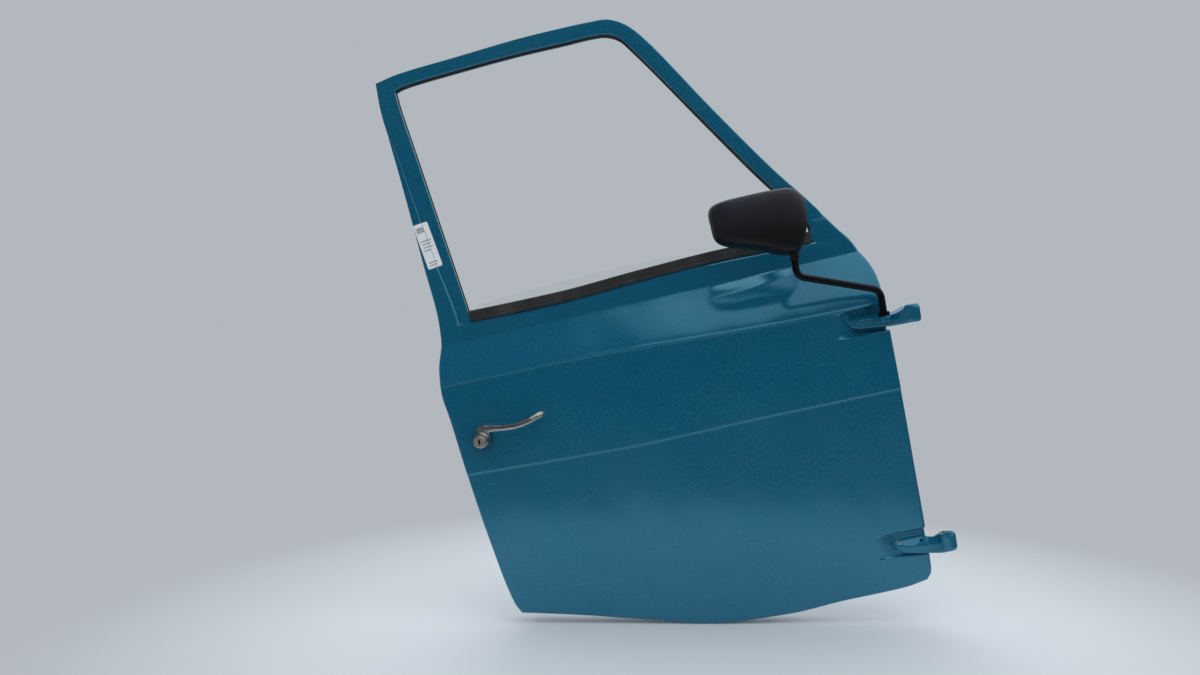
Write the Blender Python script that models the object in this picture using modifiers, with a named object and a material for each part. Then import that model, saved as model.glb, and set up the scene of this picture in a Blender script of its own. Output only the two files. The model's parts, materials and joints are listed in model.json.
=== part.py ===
"""Right-hand door of a small three-wheeled van: pressed shell, window frame, winder, latch, handle and mirror.

+X is forward, -Y points out of the vehicle and +Z is up. The origin lies on the hinge axis, halfway up the
lower hinge eye. A height is the distance of a point outboard of the window frame's outer face.
"""

import math

import bmesh
import bpy
from mathutils import Matrix, Vector

# The door as a whole
DOOR_LENGTH = 0.874
DOOR_HEIGHT = 1.010
AXIS_STANDOFF = 0.055
HINGE_SPAN_SHARE = 0.398
HINGE_SPAN = HINGE_SPAN_SHARE * DOOR_HEIGHT
SHEET = 0.001
FIT = 0.0003
OVERRUN = 0.004

# Outer panel: heights of its lines over the belt, and its edge
RIDGE_HEIGHT = 0.038
RIDGE_STEP = 0.002
RIDGE_RISE = 0.003
BEAD_HEIGHT = 0.037
CREASE_HEIGHT = 0.009
CREASE_END_HEIGHT = 0.003
SILL_HEIGHT = 0.020
EDGE_ROLL = 0.0015
HEM = 0.0035
SKIN_UPSTAND = 0.012
PILLAR_LAP = 0.036
CORNER_LAP = 0.048
POCKET_FLOOR = 0.020

# Inner panel
FLANGE_INSET = 0.0022
FLANGE_END = 0.012
FLANGE_GAP = 0.0004
WALL_DRAFT = 0.001
WAIST_RISE = 0.010
WAIST_FOLD = 0.008
WAIST_MARGIN = 0.014
ACCESS_RADIUS = 0.028

# Window frame, glass and their rubber
FRAME_DEPTH = 0.028
FRAME_SHEET = 0.0012
FRAME_LEG = 0.029
FRAME_LEG_DROP = 0.024
TONGUE_CLEARANCE = 0.002
RUN_DEPTH = 0.012
RUN_WIDTH = 0.011
RUN_LIP = 0.001
RUN_WALL = 0.002
SEAM_GAP = 0.0015
GLASS_THICKNESS = 0.004
GLASS_INSET = 0.0145
GLASS_LAP = 0.005
GLASS_DROP = 0.021
GLASS_TRAVEL_SHARE = 0.4203
GLASS_TRAVEL = GLASS_TRAVEL_SHARE * DOOR_HEIGHT
REAR_RAIL_LENGTH = 0.380
FRONT_RAIL_LENGTH = 0.350

# Winder
ARM_LENGTH = 0.420
ARM_WIDTH = 0.030
ARM_TIP_WIDTH = 0.022
SECTOR_PLATE = 0.0025
GEAR_MODULE = 0.002
SECTOR_TEETH = 110
PINION_TEETH = 8
PINION_WIDTH = 0.0055
SECTOR_MARGIN_TEETH = 2
BACKPLATE = 0.002
SPINDLE_RADIUS = 0.0045
PIVOT_RADIUS = 0.006
PIVOT_BOSS_RADIUS = 0.011
RUNNING_GAP = 0.0003
ROLLER_RADIUS = 0.0085
ROLLER_WIDTH = 0.0075
ROLLER_PIN_RADIUS = 0.004
RAIL_HEIGHT = 0.030
RAIL_LENGTH = 0.240
RAIL_DEPTH = 0.0115
STRIP_WALL = 0.0015
STRIP_HEIGHT = 0.012
CRANK_LENGTH = 0.105
CRANK_HUB_RADIUS = 0.011
CRANK_HUB_HEIGHT = 0.014
CRANK_THICKNESS = 0.007
KNOB_RADIUS = 0.011
KNOB_HEIGHT = 0.028
KNOB_PIN_RADIUS = 0.003
ESCUTCHEON_RADIUS = 0.022
ESCUTCHEON_HEIGHT = 0.004

# Handle, lock and latch
GASKET_WIDTH = 0.040
GASKET_HEIGHT = 0.058
GASKET = 0.003
HUB_RADIUS = 0.0140
HUB_HEIGHT = 0.034
BARREL_RADIUS = 0.0100
BARREL_LENGTH = 0.030
BARREL_SEAT = 0.014
KEYWAY_LENGTH = 0.010
KEYWAY_WIDTH = 0.002
KEYWAY_DEPTH = 0.006
LEVER_RADIUS = 0.0052
LEVER_REACH = 0.112
LEVER_RISE = 0.020
LEVER_STANDOFF = 0.026
SPINDLE_SQUARE = 0.008
INNER_LEVER_LENGTH = 0.085
INNER_LEVER_WIDTH = 0.016
INNER_LEVER_THICKNESS = 0.006
INNER_HUB_RADIUS = 0.013
INNER_HUB_HEIGHT = 0.012
CAM_RADIUS = 0.010
CAM_REACH = 0.014
CAM_THICKNESS = 0.006
CAM_FINGER = 0.005
LATCH_DEPTH = 0.016
LATCH_WIDTH = 0.038
LATCH_HEIGHT = 0.072
LATCH_WALL = 0.0016
STRIKER_SLOT = 0.012
STRIKER_REACH = 0.0235
FORK_RADIUS = 0.0165
FORK_THICKNESS = 0.005
FORK_NOTCH = 0.009
LATCH_PIN_RADIUS = 0.003
PAWL_WIDTH = 0.008
PAWL_NOSE = 0.0185
TAIL_PIN_RADIUS = 0.002

# Hinges
EYE_RADIUS = 0.014
EYE_HEIGHT = 0.032
EYE_BORE_RADIUS = 0.0055
REINFORCEMENT = 0.003
BOLT_RADIUS = 0.004
BOLT_HEAD_RADIUS = 0.0065
BOLT_HEAD = 0.005
BOLT_BITE = 0.008
BOLT_CLEARANCE = 0.0005
BOLT_SPACING = 0.026

# Mirror
MIRROR_WIDTH = 0.166
MIRROR_HEIGHT = 0.117
MIRROR_DEPTH = 0.046
MIRROR_WALL = 0.0025
MIRROR_STANDOFF = 0.078
MIRROR_GLASS = 0.002
MIRROR_GLASS_GAP = 0.0005
MIRROR_RIM = 0.004
TUBE_RADIUS = 0.006
TUBE_BEND = 0.013
TUBE_FOOT_STANDOFF = 0.056
TUBE_TOP_STANDOFF = 0.100
COLLAR_RADIUS = 0.0105
COLLAR_HEIGHT = 0.008
NECK_RADIUS = 0.0095
NECK_HEIGHT = 0.016
NECK_SOCKET = 0.006

# The outline in shares: (up, back) of the door's height and length, from the lower hinge
REAR_EDGE_SHARES = (
    (-0.017, 0.866), (0.002, 0.877), (0.114, 0.904), (0.225, 0.926), (0.336, 0.945), (0.391, 0.955),
    (0.424, 0.955), (0.480, 0.946), (0.506, 0.945), (0.619, 0.958), (0.773, 0.977), (0.928, 0.9995),
)
FRONT_EDGE_SHARES = (
    (-0.071, 0.040), (-0.056, 0.029), (0.036, 0.0315), (0.123, 0.035), (0.252, 0.0385), (0.383, 0.0425),
    (0.436, 0.044), (0.471, 0.047), (0.494, 0.0535), (0.518, 0.066), (0.543, 0.081), (0.567, 0.104),
    (0.616, 0.145),
)

# Lines across the panel in shares: (along, up), along running from the rear edge to the front edge
SILL_SHARES = ((0, -0.017), (0.14, -0.037), (0.3, -0.063), (0.51, -0.092), (0.65, -0.093), (0.79, -0.085),
               (0.94, -0.079), (1, -0.071))
RIDGE_SHARES = ((0, 0.238), (0.34, 0.2415), (0.66, 0.2555), (1, 0.269))
BEAD_SHARES = ((0, 0.400), (0.4, 0.413), (0.67, 0.414), (1, 0.422))
LOWER_CREASE_SHARES = ((0, 0.464), (0.42, 0.476), (0.67, 0.481), (0.81, 0.494), (1, 0.517))
UPPER_CREASE_SHARES = ((0, 0.468), (1, 0.520))
BELT_SHARES = ((0, 0.501), (0.3, 0.513), (0.5, 0.529), (0.72, 0.5435), (0.92, 0.549), (1, 0.556))

# Rows of the pressing as shares of the way from one line to the next, closer at the hinge pockets
LOWER_ROW_SHARES = (0, 0.048, 0.11, 0.145, 0.164, 0.176, 0.202, 0.231, 0.259, 0.2705, 0.284, 0.33, 0.42, 0.56,
                    0.72, 0.88, 1)
MIDDLE_ROW_SHARES = (0.2, 0.45, 0.576, 0.636, 0.695, 0.755, 0.815, 0.874, 0.934, 1)
SHOULDER_ROW_SHARES = (0.08, 0.3, 0.55, 0.8)
REAR_COLUMN_SHARES = (0, 0.17, 0.5, 1)
MIDDLE_COLUMN_SHARES = (0.15, 0.34, 0.52, 0.68, 0.84)
FRONT_COLUMN_SHARES = (2.33, 2.04, 1.79, 1.54, 1.2, 1, 0.46, 0.15, 0)
TONGUE_SHARES = ((0.604, 0.69), (0.741, 0.34), (0.824, 0.18), (0.850, 0.08))
EAR_SHARES = ((0.580, 0.68), (0.597, 0.53))

# Hinge pockets: reach of the tip, depth below and above the centre, half height at the tip, by the eye's height
POCKET_SHARES = {"upper": (2.75, 0.80, 0.49, 0.30), "lower": (2.45, 0.72, 0.57, 0.30)}
POCKET_TAPER = 6

# The window opening in shares (back, up): foot and head of its straight rear side, top side, pillar side
REAR_RUN_FOOT_SHARES = (0.8777, 0.504)
REAR_RUN_HEAD_SHARES = (0.9588, 0.9158)
FRAME_REAR_SHARES = (0.505, 0.605, 0.742, 0.824, 0.903)
FRAME_REAR_WIDTH_SHARES = (1.0, 1.03, 1.19, 1.24, 1.19)
FRAME_CORNER_SHARES = (
    ((0.9610, 0.9280), (0.9999, 0.9430)), ((0.9565, 0.9365), (0.9935, 0.9555)),
    ((0.9440, 0.9400), (0.9500, 0.9610)), ((0.8160, 0.9535), (0.8190, 0.9760)),
    ((0.6920, 0.9650), (0.6940, 0.9900)), ((0.6040, 0.9705), (0.6060, 0.9965)),
    ((0.5380, 0.9750), (0.5380, 1.0000)), ((0.5115, 0.9740), (0.5035, 0.9995)),
    ((0.4865, 0.9645), (0.4715, 0.9870)), ((0.4610, 0.9385), (0.4390, 0.9600)),
    ((0.3400, 0.7940), (0.3160, 0.8090)), ((0.2370, 0.6725), (0.2140, 0.6885)),
    ((0.1740, 0.6060), (0.1500, 0.6210)),
)
FRAME_FRONT_SHARES = (0.588, 0.553, 0.527)
FRONT_RUN_HEAD_SHARES = (0.1613, 0.591)
GLASS_TOP_SHARES = (1.5, 1.5, 1.5, 1.4, 1.1, 0.9, 0.8, 0.7, 0.7, 0.9, 1, 1, 1)

# Places in shares (back, up)
HANDLE_UP_SHARE = 0.298
HANDLE_SETBACK = 0.0463
WINDER_SHARES = (0.2288, 0.250)
RAIL_START_SHARE = 0.515
ACCESS_HOLE_SHARES = (((0.480, 0.040), (0.800, 0.205)), ((0.370, 0.290), (0.735, 0.405)))
MIRROR_CENTRE_SHARES = (0.2803, 0.586)
TUBE_SHARES = ((0.0556, 0.400), (0.0556, 0.446))
TUBE_TOP_SHARES = ((0.6350, -1.6403), (0.6318, -0.9841))
MIRROR_OUTLINE_SHARES = (
    (-0.77, 0.83), (-0.2, 0.91), (0.41, 0.95), (0.73, 0.92), (0.93, 0.70), (1.0, 0.39), (0.99, -0.22),
    (0.90, -0.61), (0.77, -0.95), (0.61, -1.0), (0.40, -0.98), (-0.10, -0.71), (-0.77, -0.44),
    (-0.93, -0.24), (-0.98, 0.22), (-0.99, 0.54), (-0.93, 0.73),
)
MIRROR_RING_SHARES = ((0, 1), (0.35, 0.985), (0.7, 0.93), (0.92, 0.82), (1, 0.66))

PAINT = "teal_paint"


def at(place_shares):
    """World (x, z) of a place given in shares (back, up)."""
    back_share, up_share = place_shares
    return Vector((-back_share * DOOR_LENGTH, up_share * DOOR_HEIGHT))


def out(height):
    """World y of a height outboard of the window frame's face."""
    return AXIS_STANDOFF - height


def interpolate(table, value):
    for (low, start), (high, end) in zip(table, table[1:]):
        if value <= high:
            return start + (end - start) * (value - low) / (high - low)
    return table[-1][1]


def rear_edge(z):
    return at((interpolate(REAR_EDGE_SHARES, z / DOOR_HEIGHT), 0)).x


def front_edge(z):
    return at((interpolate(FRONT_EDGE_SHARES, z / DOOR_HEIGHT), 0)).x


# Materials and objects

def handle_place():
    """World (x, z) of the handle's spindle, a set distance ahead of the rear edge."""
    z = HANDLE_UP_SHARE * DOOR_HEIGHT
    return Vector((rear_edge(z) + HANDLE_SETBACK, z))


MATERIALS = {
    "teal_paint": ((0.010, 0.075, 0.130), 0.28, 0.0),
    "primer_paint": ((0.012, 0.060, 0.100), 0.45, 0.0),
    "black_rubber": ((0.025, 0.025, 0.027), 0.75, 0.0),
    "window_glass": ((0.75, 0.85, 0.83), 0.05, 0.0),
    "zinc_steel": ((0.50, 0.49, 0.46), 0.38, 0.9),
    "bright_chrome": ((0.78, 0.79, 0.80), 0.10, 1.0),
    "black_plastic": ((0.018, 0.019, 0.022), 0.48, 0.0),
    "black_enamel": ((0.010, 0.011, 0.013), 0.32, 0.0),
    "mirror_silver": ((0.85, 0.86, 0.87), 0.03, 1.0),
    "nylon": ((0.55, 0.54, 0.48), 0.50, 0.0),
}


def material(name):
    found = bpy.data.materials.get(name)
    if found:
        return found
    colour, roughness, metallic = MATERIALS[name]
    made = bpy.data.materials.new(name)
    made.use_nodes = True
    shader = made.node_tree.nodes["Principled BSDF"]
    shader.inputs["Base Color"].default_value = (*colour, 1)
    shader.inputs["Roughness"].default_value = roughness
    shader.inputs["Metallic"].default_value = metallic
    return made


def link(name, mesh, finish, collection):
    piece = bpy.data.objects.new(name, mesh)
    collection.objects.link(piece)
    if finish:
        mesh.materials.clear()
        mesh.materials.append(material(finish))
    return piece


def mesh_from(name, body):
    mesh = bpy.data.meshes.new(name)
    body.to_mesh(mesh)
    body.free()
    return mesh


def face_out(body):
    """Turns an open sheet's faces outboard, which is towards -Y on most of it."""
    bmesh.ops.recalc_face_normals(body, faces=body.faces)
    if sum(face.normal.y * face.calc_area() for face in body.faces) > 0:
        bmesh.ops.reverse_faces(body, faces=body.faces)


def thicken(piece, thickness, side_share=-1):
    shell = piece.modifiers.new("Sheet thickness", "SOLIDIFY")
    shell.thickness = thickness
    shell.offset = side_share
    shell.use_even_offset = True


def smooth(piece, angle=math.radians(32)):
    piece.data.shade_smooth()
    piece.data.set_sharp_from_angle(angle=angle)


def cut(piece, cutter):
    cutting = piece.modifiers.new("Cut " + cutter.name, "BOOLEAN")
    cutting.operation = "DIFFERENCE"
    cutting.object = cutter


def join(piece, added):
    joining = piece.modifiers.new("Join " + added.name, "BOOLEAN")
    joining.operation = "UNION"
    joining.object = added


def cutter_from(name, body, tools):
    cutter = link(name, mesh_from(name, body), None, tools)
    cutter.hide_render = True
    cutter.display_type = "WIRE"
    return cutter


def cylinder(start, end, radius, end_radius=None, segments=16):
    """A closed cylinder or cone between two points, as a bmesh."""
    body = bmesh.new()
    axis = Vector(end) - Vector(start)
    turn = Vector((0, 0, 1)).rotation_difference(axis).to_matrix().to_4x4()
    middle = (Vector(start) + Vector(end)) / 2
    bmesh.ops.create_cone(
        body, cap_ends=True, segments=segments, radius1=radius,
        radius2=radius if end_radius is None else end_radius, depth=axis.length,
        matrix=Matrix.Translation(middle) @ turn,
    )
    return body


def box(low, high):
    body = bmesh.new()
    low, high = Vector(low), Vector(high)
    bmesh.ops.create_cube(body, size=1, matrix=Matrix.Translation((low + high) / 2)
                          @ Matrix.Diagonal((*(high - low), 1)))
    return body


def merged(*bodies):
    """One bmesh holding several separate closed bodies."""
    whole = bmesh.new()
    for body in bodies:
        part = bpy.data.meshes.new("part")
        body.to_mesh(part)
        body.free()
        whole.from_mesh(part)
        bpy.data.meshes.remove(part)
    return whole


FACING_OUT = Matrix.Rotation(math.pi / 2, 4, "X")


def plate(loops, thickness, placing):
    """A flat plate with holes: its first loop is the outline, and placing carries local XY to the world."""
    curve = bpy.data.curves.new("outline", "CURVE")
    curve.dimensions = "2D"
    curve.fill_mode = "BOTH"
    curve.extrude = thickness / 2
    for loop in loops:
        spline = curve.splines.new("POLY")
        spline.points.add(len(loop) - 1)
        spline.use_cyclic_u = True
        for point, (x, y) in zip(spline.points, loop):
            point.co = (x, y, 0, 1)
    drawn = bpy.data.objects.new("outline", curve)
    bpy.context.scene.collection.objects.link(drawn)
    evaluated = drawn.evaluated_get(bpy.context.evaluated_depsgraph_get())
    mesh = bpy.data.meshes.new_from_object(evaluated)
    body = bmesh.new()
    body.from_mesh(mesh)
    bmesh.ops.remove_doubles(body, verts=body.verts, dist=0.00001)
    bmesh.ops.transform(body, matrix=placing, verts=body.verts)
    bmesh.ops.recalc_face_normals(body, faces=body.faces)
    bpy.data.objects.remove(drawn)
    bpy.data.curves.remove(curve)
    bpy.data.meshes.remove(mesh)
    return body


def upright_plate(loops, thickness, height):
    """A plate parallel to the door whose middle lies at a height."""
    return plate(loops, thickness, Matrix.Translation((0, out(height), 0)) @ FACING_OUT)


def circle(centre, radius, count=16, start=0.0):
    return [(centre[0] + radius * math.cos(start + math.tau * step / count),
             centre[1] + radius * math.sin(start + math.tau * step / count)) for step in range(count)]


def rounded_box(low, high, radius, steps=4):
    corners = (((high[0] - radius), (high[1] - radius), 0), ((low[0] + radius), (high[1] - radius), 1),
               ((low[0] + radius), (low[1] + radius), 2), ((high[0] - radius), (low[1] + radius), 3))
    points = []
    for x, y, quarter in corners:
        for step in range(steps + 1):
            angle = math.pi / 2 * (quarter + step / steps)
            points.append((x + radius * math.cos(angle), y + radius * math.sin(angle)))
    return points


def capsule(start, end, start_radius, end_radius, steps=6):
    """Outline of a bar with round ends of two sizes."""
    start, end = Vector(start), Vector(end)
    along = (end - start).normalized()
    across = Vector((-along.y, along.x))
    points = []
    for centre, radius, sign in ((end, end_radius, 1), (start, start_radius, -1)):
        for step in range(steps + 1):
            angle = math.pi * step / steps - math.pi / 2
            point = centre + radius * sign * (along * math.cos(angle) + across * math.sin(angle))
            points.append((point.x, point.y))
    return points


def turned(profile, placing, steps=20):
    """A turned solid: profile is (radius, along) from its top to its bottom, both on the axis."""
    body = bmesh.new()
    points = [body.verts.new((radius, 0, along)) for radius, along in profile]
    edges = [body.edges.new(pair) for pair in zip(points, points[1:])]
    bmesh.ops.spin(body, geom=points + edges, cent=(0, 0, 0), axis=(0, 0, 1), angle=math.tau, steps=steps)
    bmesh.ops.remove_doubles(body, verts=body.verts, dist=0.00001)
    bmesh.ops.recalc_face_normals(body, faces=body.faces)
    bmesh.ops.transform(body, matrix=placing, verts=body.verts)
    return body


def sweep(stations, section):
    """Open sheet through stations (place, outward direction, width); section gives (distance, height) points."""
    body = bmesh.new()
    rings = []
    for place, direction, width in stations:
        ring = []
        for distance, height in section(width):
            point = place + direction * distance
            ring.append(body.verts.new((point.x, out(height), point.y)))
        rings.append(ring)
    for first, second in zip(rings, rings[1:]):
        for step in range(len(first) - 1):
            body.faces.new((first[step], first[step + 1], second[step + 1], second[step]))
    return body, rings


def solid_sweep(stations, section):
    """Closed solid through stations, whose section is a closed loop."""
    body, rings = sweep(stations, section)
    for first, second in zip(rings, rings[1:]):
        body.faces.new((first[-1], first[0], second[0], second[-1]))
    body.faces.new(rings[0])
    body.faces.new(list(reversed(rings[-1])))
    bmesh.ops.recalc_face_normals(body, faces=body.faces)
    return body


def tube(points, radius, collection, name, finish, resolution=3):
    curve = bpy.data.curves.new(name, "CURVE")
    curve.dimensions = "3D"
    curve.bevel_depth = radius
    curve.bevel_resolution = resolution
    curve.use_fill_caps = True
    spline = curve.splines.new("POLY")
    spline.points.add(len(points) - 1)
    for point, place in zip(spline.points, points):
        point.co = (*place, 1)
    curve.materials.append(material(finish))
    piece = bpy.data.objects.new(name, curve)
    collection.objects.link(piece)
    return piece


def curve_to_mesh(piece, collection):
    """The same tube as a mesh object with its caps welded, so that it can be cut or joined."""
    name = piece.name
    evaluated = piece.evaluated_get(bpy.context.evaluated_depsgraph_get())
    mesh = bpy.data.meshes.new_from_object(evaluated)
    body = bmesh.new()
    body.from_mesh(mesh)
    bmesh.ops.remove_doubles(body, verts=body.verts, dist=0.00001)
    bmesh.ops.recalc_face_normals(body, faces=body.faces)
    body.to_mesh(mesh)
    body.free()
    placing = piece.matrix_world.copy()
    curve = piece.data
    bpy.data.objects.remove(piece)
    bpy.data.curves.remove(curve)
    made = bpy.data.objects.new(name, mesh)
    made.matrix_world = placing
    collection.objects.link(made)
    return made


def bent(corners, radius, steps=5):
    """A route through corners whose inner ones are rounded."""
    corners = [Vector(corner) for corner in corners]
    route = [corners[0]]
    for before, corner, after in zip(corners, corners[1:], corners[2:]):
        back, forth = (before - corner).normalized(), (after - corner).normalized()
        start, end = corner + back * radius, corner + forth * radius
        for step in range(steps + 1):
            share = step / steps
            route.append(start * (1 - share) ** 2 + corner * 2 * share * (1 - share) + end * share ** 2)
    route.append(corners[-1])
    return route


# Outer panel


def crease_height(along):
    return CREASE_END_HEIGHT + (CREASE_HEIGHT - CREASE_END_HEIGHT) * 4 * along * (1 - along)


def skin_lines():
    """Rows of the pressing from sill to belt: each a pair of functions of the share along, for z and height."""
    lines = []

    def add(low, high, share, height, rise=0.0):
        lines.append((lambda along: DOOR_HEIGHT * ((1 - share) * interpolate(low, along)
                                                   + share * interpolate(high, along)) + rise, height))

    for share in LOWER_ROW_SHARES:
        bulge = SILL_HEIGHT + (RIDGE_HEIGHT - SILL_HEIGHT) * (1 - (1 - share) ** 2.4)
        add(SILL_SHARES, RIDGE_SHARES, share, lambda along, bulge=bulge: bulge)
    crest = RIDGE_HEIGHT + RIDGE_STEP
    add(RIDGE_SHARES, RIDGE_SHARES, 0, lambda along: crest, RIDGE_RISE)
    for share in MIDDLE_ROW_SHARES:
        fall = (crest - BEAD_HEIGHT) * share ** 2
        add(RIDGE_SHARES, BEAD_SHARES, share, lambda along, fall=fall: crest - fall, RIDGE_RISE * (1 - share))
    for share in SHOULDER_ROW_SHARES + (1,):
        curve_share = share ** 1.6
        add(BEAD_SHARES, LOWER_CREASE_SHARES, share,
            lambda along, part=curve_share: BEAD_HEIGHT + (crease_height(along) - BEAD_HEIGHT) * part)
    add(UPPER_CREASE_SHARES, UPPER_CREASE_SHARES, 0, lambda along: 0.0)
    add(BELT_SHARES, BELT_SHARES, 0, lambda along: 0.0)
    add(BELT_SHARES, BELT_SHARES, 0, lambda along: 0.0, SKIN_UPSTAND)
    return lines


def pocket_zone(setback, z, hinge, centre):
    """True on the flat floor of a hinge pocket."""
    reach_share, below_share, above_share, tip_share = POCKET_SHARES[hinge]
    reach = reach_share * EYE_HEIGHT
    taper = min(1.0, max(0.0, setback / reach)) ** POCKET_TAPER
    side_share = below_share if z < centre else above_share
    half = EYE_HEIGHT * (side_share + (tip_share - side_share) * taper)
    return setback <= reach and abs(z - centre) <= half


HINGES = {"upper": HINGE_SPAN, "lower": 0.0}


def skin_grid():
    """Points of the pressing, row by row from the sill up, each (x, z, height)."""
    grid = []
    for line, height in skin_lines():
        rear, front = rear_edge(line(0)), front_edge(line(1))
        span = front - rear
        rear_group = [rear + PILLAR_LAP * share for share in REAR_COLUMN_SHARES]
        front_group = [front - CORNER_LAP * share for share in FRONT_COLUMN_SHARES]
        gap = front_group[0] - rear_group[-1]
        middle = [rear_group[-1] + gap * share for share in MIDDLE_COLUMN_SHARES]
        row = []
        for x in rear_group + middle + front_group:
            along = (x - rear) / span
            z, rise = line(along), height(along)
            if min(x - rear, front - x) < EDGE_ROLL:
                rise -= EDGE_ROLL if rise > EDGE_ROLL else 0
            for hinge, centre in HINGES.items():
                if pocket_zone(front - x, z, hinge, centre):
                    rise = POCKET_FLOOR
            row.append((x, z, rise))
        grid.append(row)
    return grid


def lap_rows(grid):
    """The tongue that runs up the rear pillar and the ear at the foot of the front pillar."""
    tongue, ear = [], []
    for up_share, width_share in TONGUE_SHARES:
        z = up_share * DOOR_HEIGHT
        tongue.append([(rear_edge(z) + PILLAR_LAP * width_share * share, z, 0.0)
                       for share in REAR_COLUMN_SHARES])
    ear_columns = [share for share in FRONT_COLUMN_SHARES if share <= 1]
    for up_share, width_share in EAR_SHARES:
        z = up_share * DOOR_HEIGHT
        ear.append([(front_edge(z) - CORNER_LAP * width_share * share, z, 0.0) for share in ear_columns])
    return tongue, ear


def outer_panel(collection, tools, grid, bolts):
    body = bmesh.new()
    tongue, ear = lap_rows(grid)

    def verts_of(rows):
        return [[body.verts.new((x, out(height), z)) for x, z, height in row] for row in rows]

    def fill(rows):
        for low, high in zip(rows, rows[1:]):
            for column in range(len(low) - 1):
                body.faces.new((low[column], low[column + 1], high[column + 1], high[column]))

    skin = verts_of(grid)
    tongue_rows = [skin[-1][:len(REAR_COLUMN_SHARES)]] + verts_of(tongue)
    ear_rows = [skin[-1][-len(ear[0]):]] + verts_of(ear)
    for rows in (skin, tongue_rows, ear_rows):
        fill(rows)
    loop = [row[0] for row in reversed(tongue_rows)] + [row[0] for row in reversed(skin[:-1])]
    loop += skin[0][1:] + [row[-1] for row in skin[1:]] + [row[-1] for row in ear_rows[1:]]
    pairs = {frozenset(pair) for pair in zip(loop, loop[1:])}
    rim = [edge for edge in body.edges if frozenset(edge.verts) in pairs and edge.is_boundary]
    folded = bmesh.ops.extrude_edge_only(body, edges=rim)["geom"]
    bmesh.ops.translate(body, vec=(0, HEM, 0), verts=[g for g in folded if isinstance(g, bmesh.types.BMVert)])
    face_out(body)
    piece = link("outer_panel", mesh_from("outer_panel", body), PAINT, collection)
    thicken(piece, SHEET)
    x, z = handle_place()
    hole = cylinder((x, out(RIDGE_HEIGHT) + HEM, z), (x, out(RIDGE_HEIGHT) - HEM - GASKET, z),
                    SPINDLE_SQUARE)
    shanks = [cylinder((bx, out(POCKET_FLOOR) - OVERRUN, bz), (bx, out(POCKET_FLOOR) + OVERRUN, bz),
                       BOLT_RADIUS + BOLT_CLEARANCE) for bx, bz in bolts]
    cut(piece, cutter_from("outer_panel_holes", merged(hole, *shanks), tools))
    smooth(piece)
    return piece


# Inner panel


def floor_height():
    """Height of the inner panel's outboard face: the window frame's legs stand on it."""
    return -(SHEET + FIT + FRAME_DEPTH + FIT)


def row_point(row, distance, from_front):
    """A point on a row of the pressing at a distance from its rear or front edge."""
    points = list(reversed(row)) if from_front else row
    for (x0, z0, h0), (x1, z1, h1) in zip(points, points[1:]):
        start, end = abs(x0 - points[0][0]), abs(x1 - points[0][0])
        if distance <= end:
            share = (distance - start) / (end - start)
            return (x0 + (x1 - x0) * share, z0 + (z1 - z0) * share, h0 + (h1 - h0) * share)
    return points[-1]


def column_point(grid, column, distance):
    (x0, z0, h0), (x1, z1, h1) = grid[0][column], grid[1][column]
    share = distance / (z1 - z0)
    return (x0 + (x1 - x0) * share, z0 + (z1 - z0) * share, h0 + (h1 - h0) * share)


def eased_grid(grid):
    """The pressing's points with steep walls moved back a row, so that what lies under them clears them."""
    eased = []
    for number, row in enumerate(grid):
        points = []
        for column, (x, z, height) in enumerate(row):
            for other in (number - 1, number + 1):
                if 0 <= other < len(grid):
                    beside = grid[other][column]
                    if height - beside[2] > STEEP * abs(z - beside[1]):
                        height = min(height, beside[2])
            points.append((x, z, height))
        eased.append(points)
    return eased


STEEP = 0.6


def tray_ring(grid, inset):
    """Stations round the tray, from the belt at the rear, down, along the sill and up the front."""
    top = len(grid) - 2
    ring = [row_point(grid[row], inset, False) for row in range(top, 0, -1)]
    ring += [column_point(grid, column, inset) for column in range(2, len(grid[0]) - 2)]
    ring += [row_point(grid[row], inset, True) for row in range(1, top + 1)]
    return ring


def run_foot(z):
    """x of the window opening's rear side, and of the glass channel below it, at a height z."""
    foot, head = at(REAR_RUN_FOOT_SHARES), at(REAR_RUN_HEAD_SHARES)
    return foot.x + (head.x - foot.x) * (z - foot.y) / (head.y - foot.y)


def front_run(z):
    head = at(FRONT_RUN_HEAD_SHARES)
    return head.x + run_foot(z) - run_foot(head.y)


def lift_direction():
    foot, head = at(REAR_RUN_FOOT_SHARES), at(REAR_RUN_HEAD_SHARES)
    return (head - foot).normalized()


def belt_at(x):
    """Belt line and its height z at a world x."""
    rear = rear_edge(DOOR_HEIGHT * BELT_SHARES[0][1])
    front = front_edge(DOOR_HEIGHT * BELT_SHARES[-1][1])
    return DOOR_HEIGHT * interpolate(BELT_SHARES, (x - rear) / (front - rear))


def belt_stations(margin, count=9):
    """Places along the belt between the frame's two legs."""
    start, end = run_foot(belt_at(run_foot(at(REAR_RUN_FOOT_SHARES).y))), front_run(at(FRONT_RUN_HEAD_SHARES).y)
    start, end = start + margin, end - margin
    places = []
    for step in range(count):
        x = start + (end - start) * step / (count - 1)
        places.append((Vector((x, belt_at(x))), Vector((0, 1)), 0))
    return places


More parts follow.
